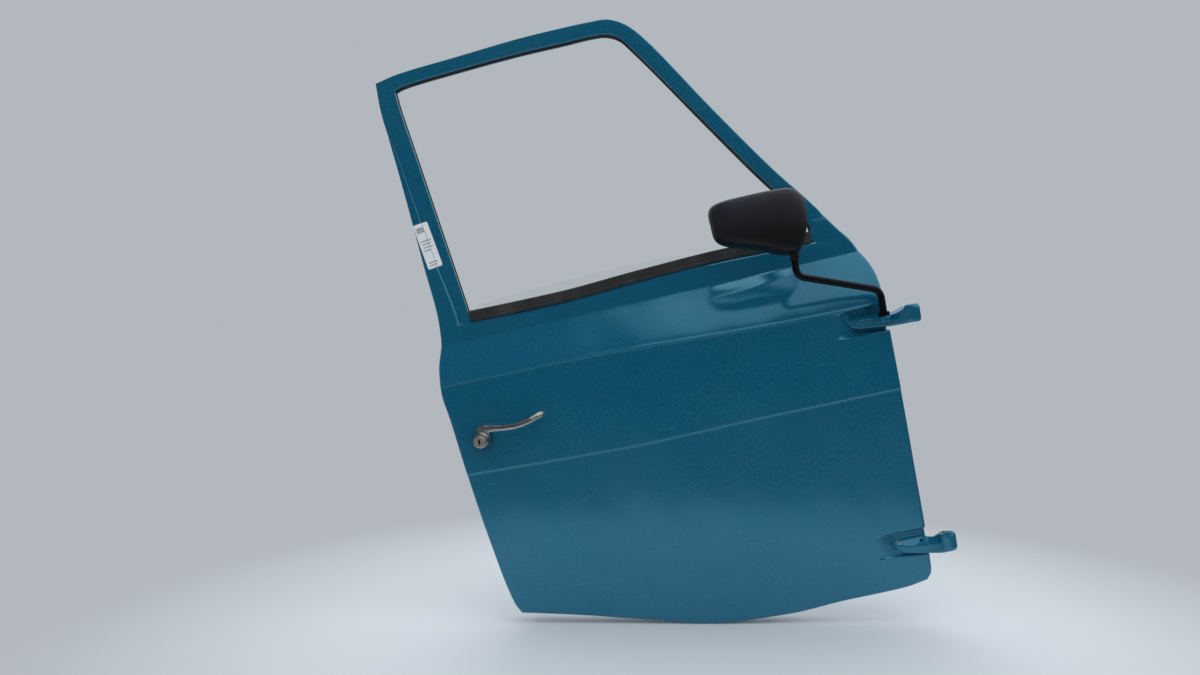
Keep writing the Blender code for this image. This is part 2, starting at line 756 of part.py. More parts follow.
def inner_panel(collection, tools, grid, holes):
    under = SHEET + FLANGE_GAP
    grid = eased_grid(grid)
    edge = [(x, out(h - under), z) for x, z, h in tray_ring(grid, FLANGE_INSET)]
    crease = [(x, out(h - under), z) for x, z, h in tray_ring(grid, FLANGE_END)]
    floor_y = out(floor_height())
    foot = [(x, floor_y, z) for x, z, h in tray_ring(grid, FLANGE_END + WALL_DRAFT)]
    body = bmesh.new()
    rings = [[body.verts.new(point) for point in ring] for ring in (edge, crease, foot)]
    for first, second in zip(rings, rings[1:]):
        for step in range(len(first) - 1):
            body.faces.new((first[step], first[step + 1], second[step + 1], second[step]))
    waist = [body.verts.new((place.x, floor_y, place.y + WAIST_RISE))
             for place, _, _ in belt_stations(WAIST_MARGIN)]
    fold = [body.verts.new((v.co.x, floor_y - WAIST_FOLD, v.co.z)) for v in waist]
    body.faces.new(rings[-1] + list(reversed(waist)))
    for step in range(len(waist) - 1):
        body.faces.new((waist[step], waist[step + 1], fold[step + 1], fold[step]))
    face_out(body)
    piece = link("inner_panel", mesh_from("inner_panel", body), PAINT, collection)
    thicken(piece, SHEET)
    cut(piece, cutter_from("inner_panel_holes", holes, tools))
    smooth(piece)
    return piece


# Window frame, runs and glass


def frame_stations():
    """Places round the window opening, each with its outward direction and the profile's width."""
    stations = []
    drop = at(REAR_RUN_FOOT_SHARES).y - FRAME_LEG_DROP
    level = Vector((-lift_direction().y, lift_direction().x))
    heights = [drop] + [share * DOOR_HEIGHT for share in FRAME_REAR_SHARES]
    widths = (FRAME_REAR_WIDTH_SHARES[0],) + FRAME_REAR_WIDTH_SHARES
    for z, share in zip(heights, widths):
        stations.append((Vector((run_foot(z), z)), level, FRAME_LEG * share))
    for inner, outer in FRAME_CORNER_SHARES:
        span = at(outer) - at(inner)
        stations.append((at(inner), span.normalized(), span.length))
    for up_share in FRAME_FRONT_SHARES:
        z = up_share * DOOR_HEIGHT
        stations.append((Vector((front_run(z), z)), -level, FRAME_LEG))
    return stations


def window_frame(collection):
    face = -(SHEET + FIT)
    back = face - FRAME_DEPTH
    groove_out, groove_in = -(GLASS_INSET - RUN_WIDTH / 2), -(GLASS_INSET + RUN_WIDTH / 2)

    def section(width):
        return [(RUN_DEPTH, groove_out - SEAM_GAP), (RUN_DEPTH, groove_in), (0, groove_in), (0, back),
                (width, back), (width, face), (0, face), (0, groove_out), (RUN_DEPTH - SEAM_GAP, groove_out)]

    body, _ = sweep(frame_stations(), section)
    bmesh.ops.recalc_face_normals(body, faces=body.faces)
    if sum(f.normal.y * f.calc_area() for f in body.faces if f.calc_center_median().y < out(face) + FIT) > 0:
        bmesh.ops.reverse_faces(body, faces=body.faces)
    piece = link("window_frame", mesh_from("window_frame", body), PAINT, collection)
    thicken(piece, FRAME_SHEET)
    smooth(piece)
    return piece


def rail_stations(front):
    """Places down one of the two guide rails inside the door."""
    run = front_run if front else run_foot
    level = Vector((-lift_direction().y, lift_direction().x)) * (-1 if front else 1)
    top = (FRAME_FRONT_SHARES[-1] * DOOR_HEIGHT if front
           else at(REAR_RUN_FOOT_SHARES).y - FRAME_LEG_DROP) - 2 * FRAME_SHEET
    length = FRONT_RAIL_LENGTH if front else REAR_RAIL_LENGTH
    return [(Vector((run(z), z)), level, 0) for z in (top, top - length)]


def guide_rail(name, front, collection):
    groove_out, groove_in = -(GLASS_INSET - RUN_WIDTH / 2), -(GLASS_INSET + RUN_WIDTH / 2)

    def section(width):
        return [(0, groove_out), (RUN_DEPTH, groove_out), (RUN_DEPTH, groove_in), (0, groove_in)]

    body, _ = sweep(rail_stations(front), section)
    bmesh.ops.recalc_face_normals(body, faces=body.faces)
    middle = sum((f.calc_center_median() * f.calc_area() for f in body.faces), Vector()) / sum(
        f.calc_area() for f in body.faces)
    if sum(f.normal.dot(f.calc_center_median() - middle) for f in body.faces) > 0:
        bmesh.ops.reverse_faces(body, faces=body.faces)
    piece = link(name, mesh_from(name, body), "zinc_steel", collection)
    thicken(piece, FRAME_SHEET)
    return piece


def guide_bracket(name, front, collection):
    """A folded strip that stands a guide rail off the inner panel near its lower end."""
    run = front_run if front else run_foot
    stations = rail_stations(front)
    level = stations[0][1]
    low = stations[-1][0].y + RUN_DEPTH
    back = -(GLASS_INSET + RUN_WIDTH / 2 + FRAME_SHEET + FIT)
    floor = floor_height() + FIT
    inner = RUN_DEPTH / 2

    def section(width):
        return [(0, back), (inner, back), (inner, floor), (-RUN_DEPTH, floor)]

    places = [(Vector((run(z), z)), level, 0) for z in (low, low + 2 * RUN_DEPTH)]
    body, _ = sweep(places, section)
    bmesh.ops.recalc_face_normals(body, faces=body.faces)
    flat = [f for f in body.faces if abs(f.calc_center_median().y - out(back)) < FIT]
    if flat[0].normal.y > 0:
        bmesh.ops.reverse_faces(body, faces=body.faces)
    piece = link(name, mesh_from(name, body), "zinc_steel", collection)
    thicken(piece, FRAME_SHEET)
    return piece


def glass_run(collection):
    half = RUN_WIDTH / 2 - FIT
    base = RUN_DEPTH - FIT

    def section(width):
        outer_side, inner_side = -(GLASS_INSET - half), -(GLASS_INSET + half)
        return [(base, outer_side), (base, inner_side), (-RUN_LIP, inner_side),
                (-RUN_LIP, inner_side + RUN_WALL), (base - RUN_WALL, inner_side + RUN_WALL),
                (base - RUN_WALL, outer_side - RUN_WALL), (-RUN_LIP, outer_side - RUN_WALL),
                (-RUN_LIP, outer_side)]

    stations = [rail_stations(False)[-1]] + frame_stations() + [rail_stations(True)[-1]]
    body = solid_sweep(stations, section)
    piece = link("glass_run_channel", mesh_from("glass_run_channel", body), "black_rubber", collection)
    return piece


def belt_seal_outer(collection):
    """Ribbed strip that clips over the skin's upstand and wipes the glass."""
    lip = -(GLASS_INSET - GLASS_THICKNESS / 2 - FIT)
    top = SKIN_UPSTAND + SEAL_CROWN_GAP
    rib = SEAL_RIB

    def section(width):
        points = [(0, FIT), (0, SEAL_BODY)]
        for step in range(3):
            low = SEAL_PITCH * step
            points += [(low + SEAL_PITCH * 0.75, SEAL_BODY + rib), (low + SEAL_PITCH, SEAL_BODY)]
        points += [(SEAL_HEIGHT, -SEAL_CROWN), (top + SEAL_CROWN, lip), (top + SEAL_CROWN / 2, lip),
                   (top + SEAL_CROWN / 2, -SEAL_CROWN), (SEAL_GRIP, -SEAL_CROWN),
                   (SEAL_GRIP, -(SHEET + FIT)), (top, -(SHEET + FIT)), (top, FIT)]
        return points

    body = solid_sweep(belt_stations(SEAL_END), section)
    return link("belt_seal_outer", mesh_from("belt_seal_outer", body), "black_rubber", collection)


SEAL_HEIGHT = 0.020
SEAL_BODY = 0.0030
SEAL_RIB = 0.0014
SEAL_PITCH = SEAL_HEIGHT / 3
SEAL_CROWN = 0.004
SEAL_CROWN_GAP = 0.0015
SEAL_GRIP = 0.004
SEAL_END = 0.0006


def belt_seal_inner(collection):
    seat = WAIST_RISE + SHEET + FIT
    back = floor_height()
    nose = back + WAIST_FOLD
    lip = -(GLASS_INSET + GLASS_THICKNESS / 2 + FIT)

    def section(width):
        return [(seat, back), (SEAL_HEIGHT, back), (SEAL_HEIGHT, nose - SEAL_RIB),
                (SEAL_HEIGHT - SEAL_CROWN / 2, lip), (SEAL_HEIGHT - SEAL_CROWN, lip), (seat, nose)]

    body = solid_sweep(belt_stations(WAIST_MARGIN), section)
    return link("belt_seal_inner", mesh_from("belt_seal_inner", body), "black_rubber", collection)


def glass_foot():
    """Height z of the glass's lower edge with the window shut."""
    return at(REAR_RUN_FOOT_SHARES).y - GLASS_DROP


def lowered(point):
    """A place on the glass with the window wound down, from its place with the window shut."""
    return Vector(point) - lift_direction() * GLASS_TRAVEL


def glass_outline():
    level = Vector((-lift_direction().y, lift_direction().x))
    foot = glass_foot()
    lap = GLASS_LAP / lift_direction().y
    points = [Vector((run_foot(foot) - lap, foot))]
    head = FRAME_REAR_SHARES[-1] * DOOR_HEIGHT
    points.append(Vector((run_foot(head), head)) + level * GLASS_LAP)
    for (inner, outer), share in zip(FRAME_CORNER_SHARES, GLASS_TOP_SHARES):
        points.append(at(inner) + (at(outer) - at(inner)).normalized() * GLASS_LAP * share)
    z = FRAME_FRONT_SHARES[0] * DOOR_HEIGHT
    points.append(Vector((front_run(z), z)) - level * GLASS_LAP)
    points.append(Vector((front_run(foot) + lap, foot)))
    return [lowered(point) for point in reversed(points)]


def window_glass(collection):
    body = upright_plate([glass_outline()], GLASS_THICKNESS, -GLASS_INSET)
    return link("window_glass", mesh_from("window_glass", body), "window_glass", collection)


# Winder


def winder():
    """The winder's sizes and places at rest, with the glass down."""
    rise = GLASS_TRAVEL * lift_direction().y
    pivot_x = at(WINDER_SHARES).x
    rail_low = glass_foot() - rise - STRIP_WALL - 2 * FRAME_SHEET - 2 * FIT - RAIL_HEIGHT / 2
    pivot = Vector((pivot_x, rail_low + rise / 2))
    half_swing = math.asin(rise / 2 / ARM_LENGTH)
    roller = pivot - Vector((math.cos(half_swing), math.sin(half_swing))) * ARM_LENGTH
    pinion = pivot - Vector((0, GEAR_MODULE * (SECTOR_TEETH + PINION_TEETH) / 2))
    plate_back = floor_height() + FIT
    sector_back = plate_back + BACKPLATE + SECTOR_CLEARANCE
    return {
        "pivot": pivot, "half_swing": half_swing, "roller": roller, "pinion": pinion,
        "plate_back": plate_back, "sector_back": sector_back, "rail_z": rail_low,
    }


SECTOR_CLEARANCE = 0.0018


def tooth_points(radius, count, centre, angle, addendum, dedendum, inward=1):
    """Corners of one gear tooth about an angle: foot, tip, tip, foot."""
    pitch = math.tau / count
    foot_share, tip_share = 0.33, 0.13
    corners = []
    for share, reach in ((-foot_share, -dedendum), (-tip_share, addendum), (tip_share, addendum),
                         (foot_share, -dedendum)):
        turn = angle + pitch * share
        size = radius + reach
        corners.append((centre.x + size * math.cos(turn), centre.y + size * math.sin(turn)))
    return corners


def gear_reach():
    return 0.75 * GEAR_MODULE, 1.05 * GEAR_MODULE


def sector_arm(collection, tools):
    """Arm and toothed quadrant cut from one plate, with the roller's pin riveted in."""
    w = winder()
    pivot, roller = w["pivot"], w["roller"]
    addendum, dedendum = gear_reach()
    radius = GEAR_MODULE * SECTOR_TEETH / 2
    pitch = math.tau / SECTOR_TEETH
    down = -math.pi / 2
    last = math.ceil(2 * w["half_swing"] / pitch) + SECTOR_MARGIN_TEETH
    quadrant = []
    for number in range(-SECTOR_MARGIN_TEETH, last + 1):
        quadrant += tooth_points(radius, SECTOR_TEETH, pivot, down + pitch * number, addendum, dedendum)
    along = (roller - pivot).normalized()
    across = Vector((-along.y, along.x))
    hub = PIVOT_BOSS_RADIUS * 1.7
    outline = list(quadrant)
    outline += [tuple(pivot - along * hub * 0.5 + Vector((hub, 0)) * 0.8),
                tuple(pivot - along * hub * 0.6 - across * hub * 0.7)]
    outline += [tuple(pivot - across * ARM_WIDTH / 2)]
    for step in range(7):
        turn = -math.pi / 2 + math.pi * step / 6
        outline.append(tuple(roller + (along * math.cos(turn) + across * math.sin(turn)) * ARM_TIP_WIDTH / 2))
    outline += [tuple(pivot + along * radius * 0.45 + across * ARM_WIDTH * 0.55)]
    first_foot = Vector(quadrant[0])
    outline += [tuple(first_foot + (pivot - first_foot) * 0.25 + along * ARM_WIDTH * 0.15)]
    middle = w["sector_back"] + SECTOR_PLATE / 2
    window_turn = down + pitch * last / 2
    lightening = circle((pivot.x + radius * 0.6 * math.cos(window_turn),
                         pivot.y + radius * 0.6 * math.sin(window_turn)), radius * 0.2)
    holes = [circle(pivot, PIVOT_RADIUS + RUNNING_GAP), lightening]
    body = upright_plate([outline] + holes, SECTOR_PLATE, middle)
    piece = link("sector_arm", mesh_from("sector_arm", body), "zinc_steel", collection)
    pin_end = roller_height() + ROLLER_WIDTH + RUNNING_GAP + FRAME_SHEET
    pin = cylinder((roller.x, out(w["sector_back"]), roller.y), (roller.x, out(pin_end), roller.y),
                   ROLLER_PIN_RADIUS)
    head = cylinder((roller.x, out(pin_end), roller.y),
                    (roller.x, out(roller_height() + ROLLER_WIDTH + RUNNING_GAP), roller.y),
                    ROLLER_PIN_RADIUS * 1.4)
    pin_object = link("roller_pin", mesh_from("roller_pin", pin), None, tools)
    head_object = link("roller_pin_head", mesh_from("roller_pin_head", head), None, tools)
    for added in (pin_object, head_object):
        added.hide_render = True
        added.display_type = "WIRE"
        join(piece, added)
    return piece


def roller_height():
    """Height of the roller's inboard face."""
    w = winder()
    return w["sector_back"] + SECTOR_PLATE + ROLLER_GAP


ROLLER_GAP = 0.0015


def lift_roller(collection):
    w = winder()
    ring = upright_plate([circle(w["roller"], ROLLER_RADIUS, 24),
                          circle(w["roller"], ROLLER_PIN_RADIUS + RUNNING_GAP)],
                         ROLLER_WIDTH, roller_height() + ROLLER_WIDTH / 2)
    return link("lift_roller", mesh_from("lift_roller", ring), "nylon", collection)


def pinion(collection):
    w = winder()
    centre = w["pinion"]
    addendum, dedendum = gear_reach()
    radius = GEAR_MODULE * PINION_TEETH / 2
    outline = []
    for number in range(PINION_TEETH):
        angle = math.pi / 2 + math.tau * (number + 0.5) / PINION_TEETH
        outline += tooth_points(radius, PINION_TEETH, centre, angle, addendum, dedendum)
    low = w["plate_back"] + BACKPLATE + FIT
    gear = upright_plate([outline], PINION_WIDTH, low + PINION_WIDTH / 2)
    piece = link("winder_pinion", mesh_from("winder_pinion", gear), "zinc_steel", collection)
    return piece, low


def winder_pinion(collection, tools):
    w = winder()
    centre = w["pinion"]
    piece, low = pinion(collection)
    end = floor_height() - SHEET - ESCUTCHEON_HEIGHT - CRANK_HUB_HEIGHT
    shaft = cylinder((centre.x, out(end), centre.y), (centre.x, out(low + PINION_WIDTH / 2), centre.y),
                     SPINDLE_RADIUS)
    added = link("pinion_shaft", mesh_from("pinion_shaft", shaft), None, tools)
    added.hide_render = True
    added.display_type = "WIRE"
    join(piece, added)
    return piece


def winder_backplate(collection, tools):
    w = winder()
    pivot, centre = w["pivot"], w["pinion"]
    gap = pivot.y - centre.y
    ears = [pivot + Vector((x, y)) for x, y in backplate_corners(gap)]
    hull = []
    for corner, start in zip(ears, (0.0, 0.25, 0.5, 0.75)):
        for step in range(5):
            turn = math.tau * (start + step / 16)
            hull.append((corner.x + BACKPLATE_EAR * math.cos(turn), corner.y + BACKPLATE_EAR * math.sin(turn)))
    holes = [circle(centre, SPINDLE_RADIUS + RUNNING_GAP)]
    holes += [circle(corner, SCREW_RADIUS + BOLT_CLEARANCE, 12) for corner in ears]
    holes.append(circle(pivot - Vector((gap * 0.22, gap * 0.5)), gap * 0.13, 20))
    holes.append(circle(pivot - Vector((-gap * 0.22, gap * 0.5)), gap * 0.13, 20))
    body = upright_plate([hull] + holes, BACKPLATE, w["plate_back"] + BACKPLATE / 2)
    piece = link("winder_backplate", mesh_from("winder_backplate", body), "zinc_steel", collection)
    front = w["sector_back"] + SECTOR_PLATE
    boss = cylinder((pivot.x, out(w["plate_back"] + BACKPLATE / 2), pivot.y),
                    (pivot.x, out(w["sector_back"] - RUNNING_GAP), pivot.y), PIVOT_BOSS_RADIUS)
    stud = cylinder((pivot.x, out(w["plate_back"] + BACKPLATE / 2), pivot.y),
                    (pivot.x, out(front + RUNNING_GAP + FRAME_SHEET / 2), pivot.y), PIVOT_RADIUS)
    head = cylinder((pivot.x, out(front + RUNNING_GAP), pivot.y),
                    (pivot.x, out(front + RUNNING_GAP + FRAME_SHEET), pivot.y), PIVOT_BOSS_RADIUS)
    for name, added in (("pivot_boss", boss), ("pivot_stud", stud), ("pivot_head", head)):
        shape = link(name, mesh_from(name, added), None, tools)
        shape.hide_render = True
        shape.display_type = "WIRE"
        join(piece, shape)
    return piece


BACKPLATE_EAR = 0.012
SCREW_RADIUS = 0.003
SCREW_HEAD_RADIUS = 0.0055
SCREW_HEAD = 0.0035


def backplate_corners(gap):
    """Fixing points round the winder's pivot, from the upper front one round."""
    return ((gap * 0.40, gap * 0.14), (-gap * 0.40, gap * 0.14), (-gap * 0.40, -gap * 1.14),
            (gap * 0.40, -gap * 1.14))


def winder_screws(collection):
    """Screws put in from the inside of the door, their ends flush with the winder's plate."""
    w = winder()
    gap = w["pivot"].y - w["pinion"].y
    back = floor_height() - SHEET
    for number, (x, z) in enumerate(backplate_corners(gap), 1):
        place = w["pivot"] + Vector((x, z))
        profile = [(0, SCREW_HEAD), (SCREW_HEAD_RADIUS * 0.7, SCREW_HEAD), (SCREW_HEAD_RADIUS, SCREW_HEAD * 0.4),
                   (SCREW_HEAD_RADIUS, 0), (SCREW_RADIUS, 0),
                   (SCREW_RADIUS, -(SHEET + FIT + BACKPLATE)), (0, -(SHEET + FIT + BACKPLATE))]
        placing = Matrix.Translation((place.x, out(back - FIT), place.y)) @ Matrix.Rotation(-math.pi / 2, 4, "X")
        name = f"winder_screw_{number}"
        link(name, mesh_from(name, turned(profile, placing, 12)), "zinc_steel", collection)


def lift_parts(collection):
    """Rubber strip on the glass's lower edge, the channel that grips it and the rail below."""
    w = winder()
    foot = glass_foot()
    base = lowered((0, foot))
    shift = base.x
    z = base.y
    start = at((RAIL_START_SHARE, 0)).x + shift
    ends = [start - RAIL_LENGTH, start]
    half = GLASS_THICKNESS / 2 + FIT
    outer = half + STRIP_WALL

    def stations(length_ends):
        return [(Vector((x, z)), Vector((0, 1)), 0) for x in length_ends]

    def strip(width):
        g = -GLASS_INSET
        return [(-FIT - STRIP_WALL, g - outer), (STRIP_HEIGHT, g - outer), (STRIP_HEIGHT, g - half),
                (-FIT, g - half), (-FIT, g + half), (STRIP_HEIGHT, g + half), (STRIP_HEIGHT, g + outer),
                (-FIT - STRIP_WALL, g + outer)]

    link("setting_strip", mesh_from("setting_strip", solid_sweep(stations(ends), strip)), "black_rubber",
         collection)
    low = -FIT - STRIP_WALL - FIT

    def channel(width):
        g = -GLASS_INSET
        side = outer + FIT
        return [(STRIP_HEIGHT * 0.85, g - side), (low, g - side), (low, g + side),
                (STRIP_HEIGHT * 0.85, g + side)]

    body, _ = sweep(stations(ends), channel)
    bmesh.ops.recalc_face_normals(body, faces=body.faces)
    bottom = [f for f in body.faces if abs(f.normal.z) > 0.5][0]
    if bottom.normal.z < 0:
        bmesh.ops.reverse_faces(body, faces=body.faces)
    grip = link("setting_channel", mesh_from("setting_channel", body), "zinc_steel", collection)
    thicken(grip, FRAME_SHEET)
    top = low - FRAME_SHEET - FIT
    web = roller_height() + ROLLER_WIDTH + RUNNING_GAP + FRAME_SHEET + ROLLER_GAP
    mouth = roller_height() - ROLLER_GAP / 2

    def rail(width):
        return [(top, mouth), (top, web), (top - RAIL_HEIGHT, web), (top - RAIL_HEIGHT, mouth)]

    body, _ = sweep(stations(ends), rail)
    bmesh.ops.recalc_face_normals(body, faces=body.faces)
    flat = [f for f in body.faces if abs(f.normal.y) > 0.5][0]
    if flat.normal.y > 0:
        bmesh.ops.reverse_faces(body, faces=body.faces)
    runner = link("lift_rail", mesh_from("lift_rail", body), "zinc_steel", collection)
    thicken(runner, FRAME_SHEET)


def window_crank(collection, tools):
    w = winder()
    centre = w["pinion"]
    base = floor_height() - SHEET - ESCUTCHEON_HEIGHT
    knob_at = crank_end()
    back = Matrix.Translation((centre.x, out(base), centre.y)) @ Matrix.Rotation(-math.pi / 2, 4, "X")
    hub = [(0, CRANK_HUB_HEIGHT + CRANK_THICKNESS / 2),
           (CRANK_HUB_RADIUS * 0.6, CRANK_HUB_HEIGHT + CRANK_THICKNESS / 2),
           (CRANK_HUB_RADIUS, CRANK_HUB_HEIGHT), (CRANK_HUB_RADIUS, 0), (0, 0)]
    piece = link("window_crank", mesh_from("window_crank", turned(hub, back)), "bright_chrome", collection)
    lift = base - CRANK_HUB_HEIGHT + CRANK_THICKNESS / 2
    arm = upright_plate([capsule(centre, knob_at, CRANK_HUB_RADIUS, CRANK_THICKNESS)], CRANK_THICKNESS, lift)
    pin_start = out(lift)
    pin_end = pin_start + CRANK_THICKNESS / 2 + KNOB_HEIGHT * 0.7
    pin = cylinder((knob_at.x, pin_start, knob_at.y), (knob_at.x, pin_end, knob_at.y), KNOB_PIN_RADIUS)
    for name, added in (("crank_bar", arm), ("knob_pin", pin)):
        shape = link(name, mesh_from(name, added), None, tools)
        shape.hide_render = True
        shape.display_type = "WIRE"
        join(piece, shape)
    bore_depth = floor_height() - SHEET - ESCUTCHEON_HEIGHT - CRANK_HUB_HEIGHT
    bore = cylinder((centre.x, out(base) - OVERRUN, centre.y), (centre.x, out(bore_depth) + FIT, centre.y),
                    SPINDLE_RADIUS + FIT)
    cut(piece, cutter_from("crank_bore", bore, tools))
    return piece


def crank_end():
    centre = winder()["pinion"]
    return centre + Vector((-math.cos(CRANK_ANGLE), math.sin(CRANK_ANGLE))) * CRANK_LENGTH


CRANK_ANGLE = math.radians(35)


def crank_knob(collection, tools):
    place = crank_end()
    base = floor_height() - SHEET - ESCUTCHEON_HEIGHT - CRANK_HUB_HEIGHT - FIT
    profile = [(0, KNOB_HEIGHT), (KNOB_RADIUS * 0.7, KNOB_HEIGHT), (KNOB_RADIUS, KNOB_HEIGHT * 0.85),
               (KNOB_RADIUS * 0.92, KNOB_HEIGHT * 0.4), (KNOB_RADIUS * 0.7, 0), (0, 0)]
    placing = Matrix.Translation((place.x, out(base), place.y)) @ Matrix.Rotation(-math.pi / 2, 4, "X")
    piece = link("crank_knob", mesh_from("crank_knob", turned(profile, placing)), "black_plastic", collection)
    bore = cylinder((place.x, out(base) - OVERRUN, place.y),
                    (place.x, out(base) + KNOB_HEIGHT * 0.7 + FIT, place.y), KNOB_PIN_RADIUS + RUNNING_GAP)
    cut(piece, cutter_from("knob_bore", bore, tools))
    return piece


def crank_escutcheon(collection):
    centre = winder()["pinion"]
    back = floor_height() - SHEET - FIT
    body = upright_plate([circle(centre, ESCUTCHEON_RADIUS, 28), circle(centre, SPINDLE_RADIUS + FIT * 2)],
                         ESCUTCHEON_HEIGHT - 2 * FIT, back - ESCUTCHEON_HEIGHT / 2 + FIT)
    return link("crank_escutcheon", mesh_from("crank_escutcheon", body), "black_plastic", collection)


# Handle, lock and latch


def skin_height(x, z, grid):
    """Height of the pressing at a place away from its edges."""
    def row_height(row):
        for (x0, z0, h0), (x1, z1, h1) in zip(row, row[1:]):
            if x <= x1:
                share = (x - x0) / (x1 - x0)
                return z0 + (z1 - z0) * share, h0 + (h1 - h0) * share
        return row[-1][1], row[-1][2]

    found = [row_height(row) for row in grid]
    for (z0, h0), (z1, h1) in zip(found, found[1:]):
        if z <= z1:
            return h0 + (h1 - h0) * (z - z0) / (z1 - z0)
    return found[-1][1]


def handle_seat():
    return RIDGE_HEIGHT + RIDGE_STEP + FIT


def handle_gasket(collection):
    place = handle_place()
    low = (place.x - GASKET_WIDTH / 2, place.y - GASKET_WIDTH / 2)
    high = (place.x + GASKET_WIDTH / 2, place.y - GASKET_WIDTH / 2 + GASKET_HEIGHT)
    outline = rounded_box(low, high, GASKET_WIDTH * 0.45, 6)
    body = upright_plate([outline, circle(place, SPINDLE_SQUARE)], GASKET, handle_seat() + GASKET / 2)
    return link("handle_gasket", mesh_from("handle_gasket", body), "black_rubber", collection)


def outer_handle(collection, tools):
    """Cast lever: a hub round the lock, a neck above it and a bar that curves back to the door."""
    place = handle_place()
    base = handle_seat() + GASKET + FIT
    crown = base + HUB_HEIGHT
    facing = Matrix.Translation((place.x, out(base), place.y)) @ FACING_OUT
    hub = [(0, HUB_HEIGHT), (HUB_RADIUS * 0.86, HUB_HEIGHT), (HUB_RADIUS * 0.95, HUB_HEIGHT * 0.9),
           (HUB_RADIUS, HUB_HEIGHT * 0.3), (HUB_RADIUS * 1.2, 0), (0, 0)]
    piece = link("outer_handle", mesh_from("outer_handle", turned(hub, facing, 24)), "bright_chrome",
                 collection)
    reach, rise, stand = LEVER_REACH, LEVER_RISE, LEVER_STANDOFF
    mid = base + stand
    route = [(place.x, out(base + stand * 0.6), place.y), (place.x + rise * 0.1, out(mid - LEVER_RADIUS),
             place.y + rise * 0.95),
             (place.x + reach * 0.22, out(mid), place.y + rise * 0.95),
             (place.x + reach * 0.55, out(mid + LEVER_RADIUS * 0.4), place.y + rise * 0.82),
             (place.x + reach * 0.82, out(mid - LEVER_RADIUS * 0.4), place.y + rise * 1.1),
             (place.x + reach, out(mid - LEVER_RADIUS * 2.2), place.y + rise * 1.45)]
    bar = tube(bent(route, LEVER_RADIUS * 2, 3), LEVER_RADIUS, tools, "lever_bar", "bright_chrome", 3)
    bar = curve_to_mesh(bar, tools)
    low = (place.x - HUB_RADIUS * 0.85, place.y)
    high = (place.x + HUB_RADIUS * 0.85, place.y + rise * 1.35)
    neck = upright_plate([rounded_box(low, high, HUB_RADIUS * 0.6)], stand, base + stand * 0.55)
    neck_object = link("handle_neck", mesh_from("handle_neck", neck), None, tools)
    for added in (neck_object, bar):
        added.hide_render = True
        added.display_type = "WIRE"
        join(piece, added)
    seat = crown - BARREL_SEAT
    bore = cylinder((place.x, out(seat), place.y), (place.x, out(crown) - OVERRUN, place.y),
                    BARREL_RADIUS + RUNNING_GAP, segments=24)
    half = SPINDLE_SQUARE / 2 + FIT
    socket = box((place.x - half, out(base + BARREL_SEAT / 2), place.y - half),
                 (place.x + half, out(base) + OVERRUN, place.y + half))
    cut(piece, cutter_from("lock_bore", merged(bore, socket), tools))
    return piece


def lock_barrel(collection, tools):
    place = handle_place()
    base = handle_seat() + GASKET + FIT + HUB_HEIGHT - BARREL_SEAT + FIT
    facing = Matrix.Translation((place.x, out(base), place.y)) @ FACING_OUT
    profile = [(0, BARREL_LENGTH), (BARREL_RADIUS * 0.88, BARREL_LENGTH),
               (BARREL_RADIUS, BARREL_LENGTH - BARREL_RADIUS * 0.12), (BARREL_RADIUS, 0), (0, 0)]
    piece = link("lock_barrel", mesh_from("lock_barrel", turned(profile, facing, 24)), "bright_chrome",
                 collection)
    top = base + BARREL_LENGTH
    keyway = box((place.x - KEYWAY_WIDTH / 2, out(top) - OVERRUN, place.y - KEYWAY_LENGTH / 2),
                 (place.x + KEYWAY_WIDTH / 2, out(top - KEYWAY_DEPTH), place.y + KEYWAY_LENGTH / 2))
    cut(piece, cutter_from("keyway", keyway, tools))
    return piece


def square_spindle(collection):
    place = handle_place()
    half = SPINDLE_SQUARE / 2
    start = handle_seat() + GASKET + FIT + BARREL_SEAT / 2 - FIT
    end = floor_height() - SHEET - FIT - INNER_HUB_HEIGHT * 0.7
    body = box((place.x - half, out(start), place.y - half), (place.x + half, out(end), place.y + half))
    return link("square_spindle", mesh_from("square_spindle", body), "zinc_steel", collection)


def inner_lever(collection, tools):
    """Short inside lever on the far end of the same square spindle."""
    place = handle_place()
    base = floor_height() - SHEET - FIT
    placing = Matrix.Translation((place.x, out(base), place.y)) @ Matrix.Rotation(-math.pi / 2, 4, "X")
    hub = [(0, INNER_HUB_HEIGHT), (INNER_HUB_RADIUS * 0.9, INNER_HUB_HEIGHT),
           (INNER_HUB_RADIUS, INNER_HUB_HEIGHT * 0.85), (INNER_HUB_RADIUS, 0), (0, 0)]
    piece = link("inner_lever", mesh_from("inner_lever", turned(hub, placing)), "black_plastic", collection)
    tip = place + Vector((INNER_LEVER_LENGTH, 0))
    bar = upright_plate([capsule(place, tip, INNER_LEVER_WIDTH * 0.6, INNER_LEVER_WIDTH / 2)],
                        INNER_LEVER_THICKNESS, base - INNER_HUB_HEIGHT + INNER_LEVER_THICKNESS / 2)
    shape = link("inner_bar", mesh_from("inner_bar", bar), None, tools)
    shape.hide_render = True
    shape.display_type = "WIRE"
    join(piece, shape)
    half = SPINDLE_SQUARE / 2 + FIT
    socket = box((place.x - half, out(base) - OVERRUN, place.y - half),
                 (place.x + half, out(base - INNER_HUB_HEIGHT * 0.7 - FIT), place.y + half))
    cut(piece, cutter_from("inner_socket", socket, tools))
    return piece


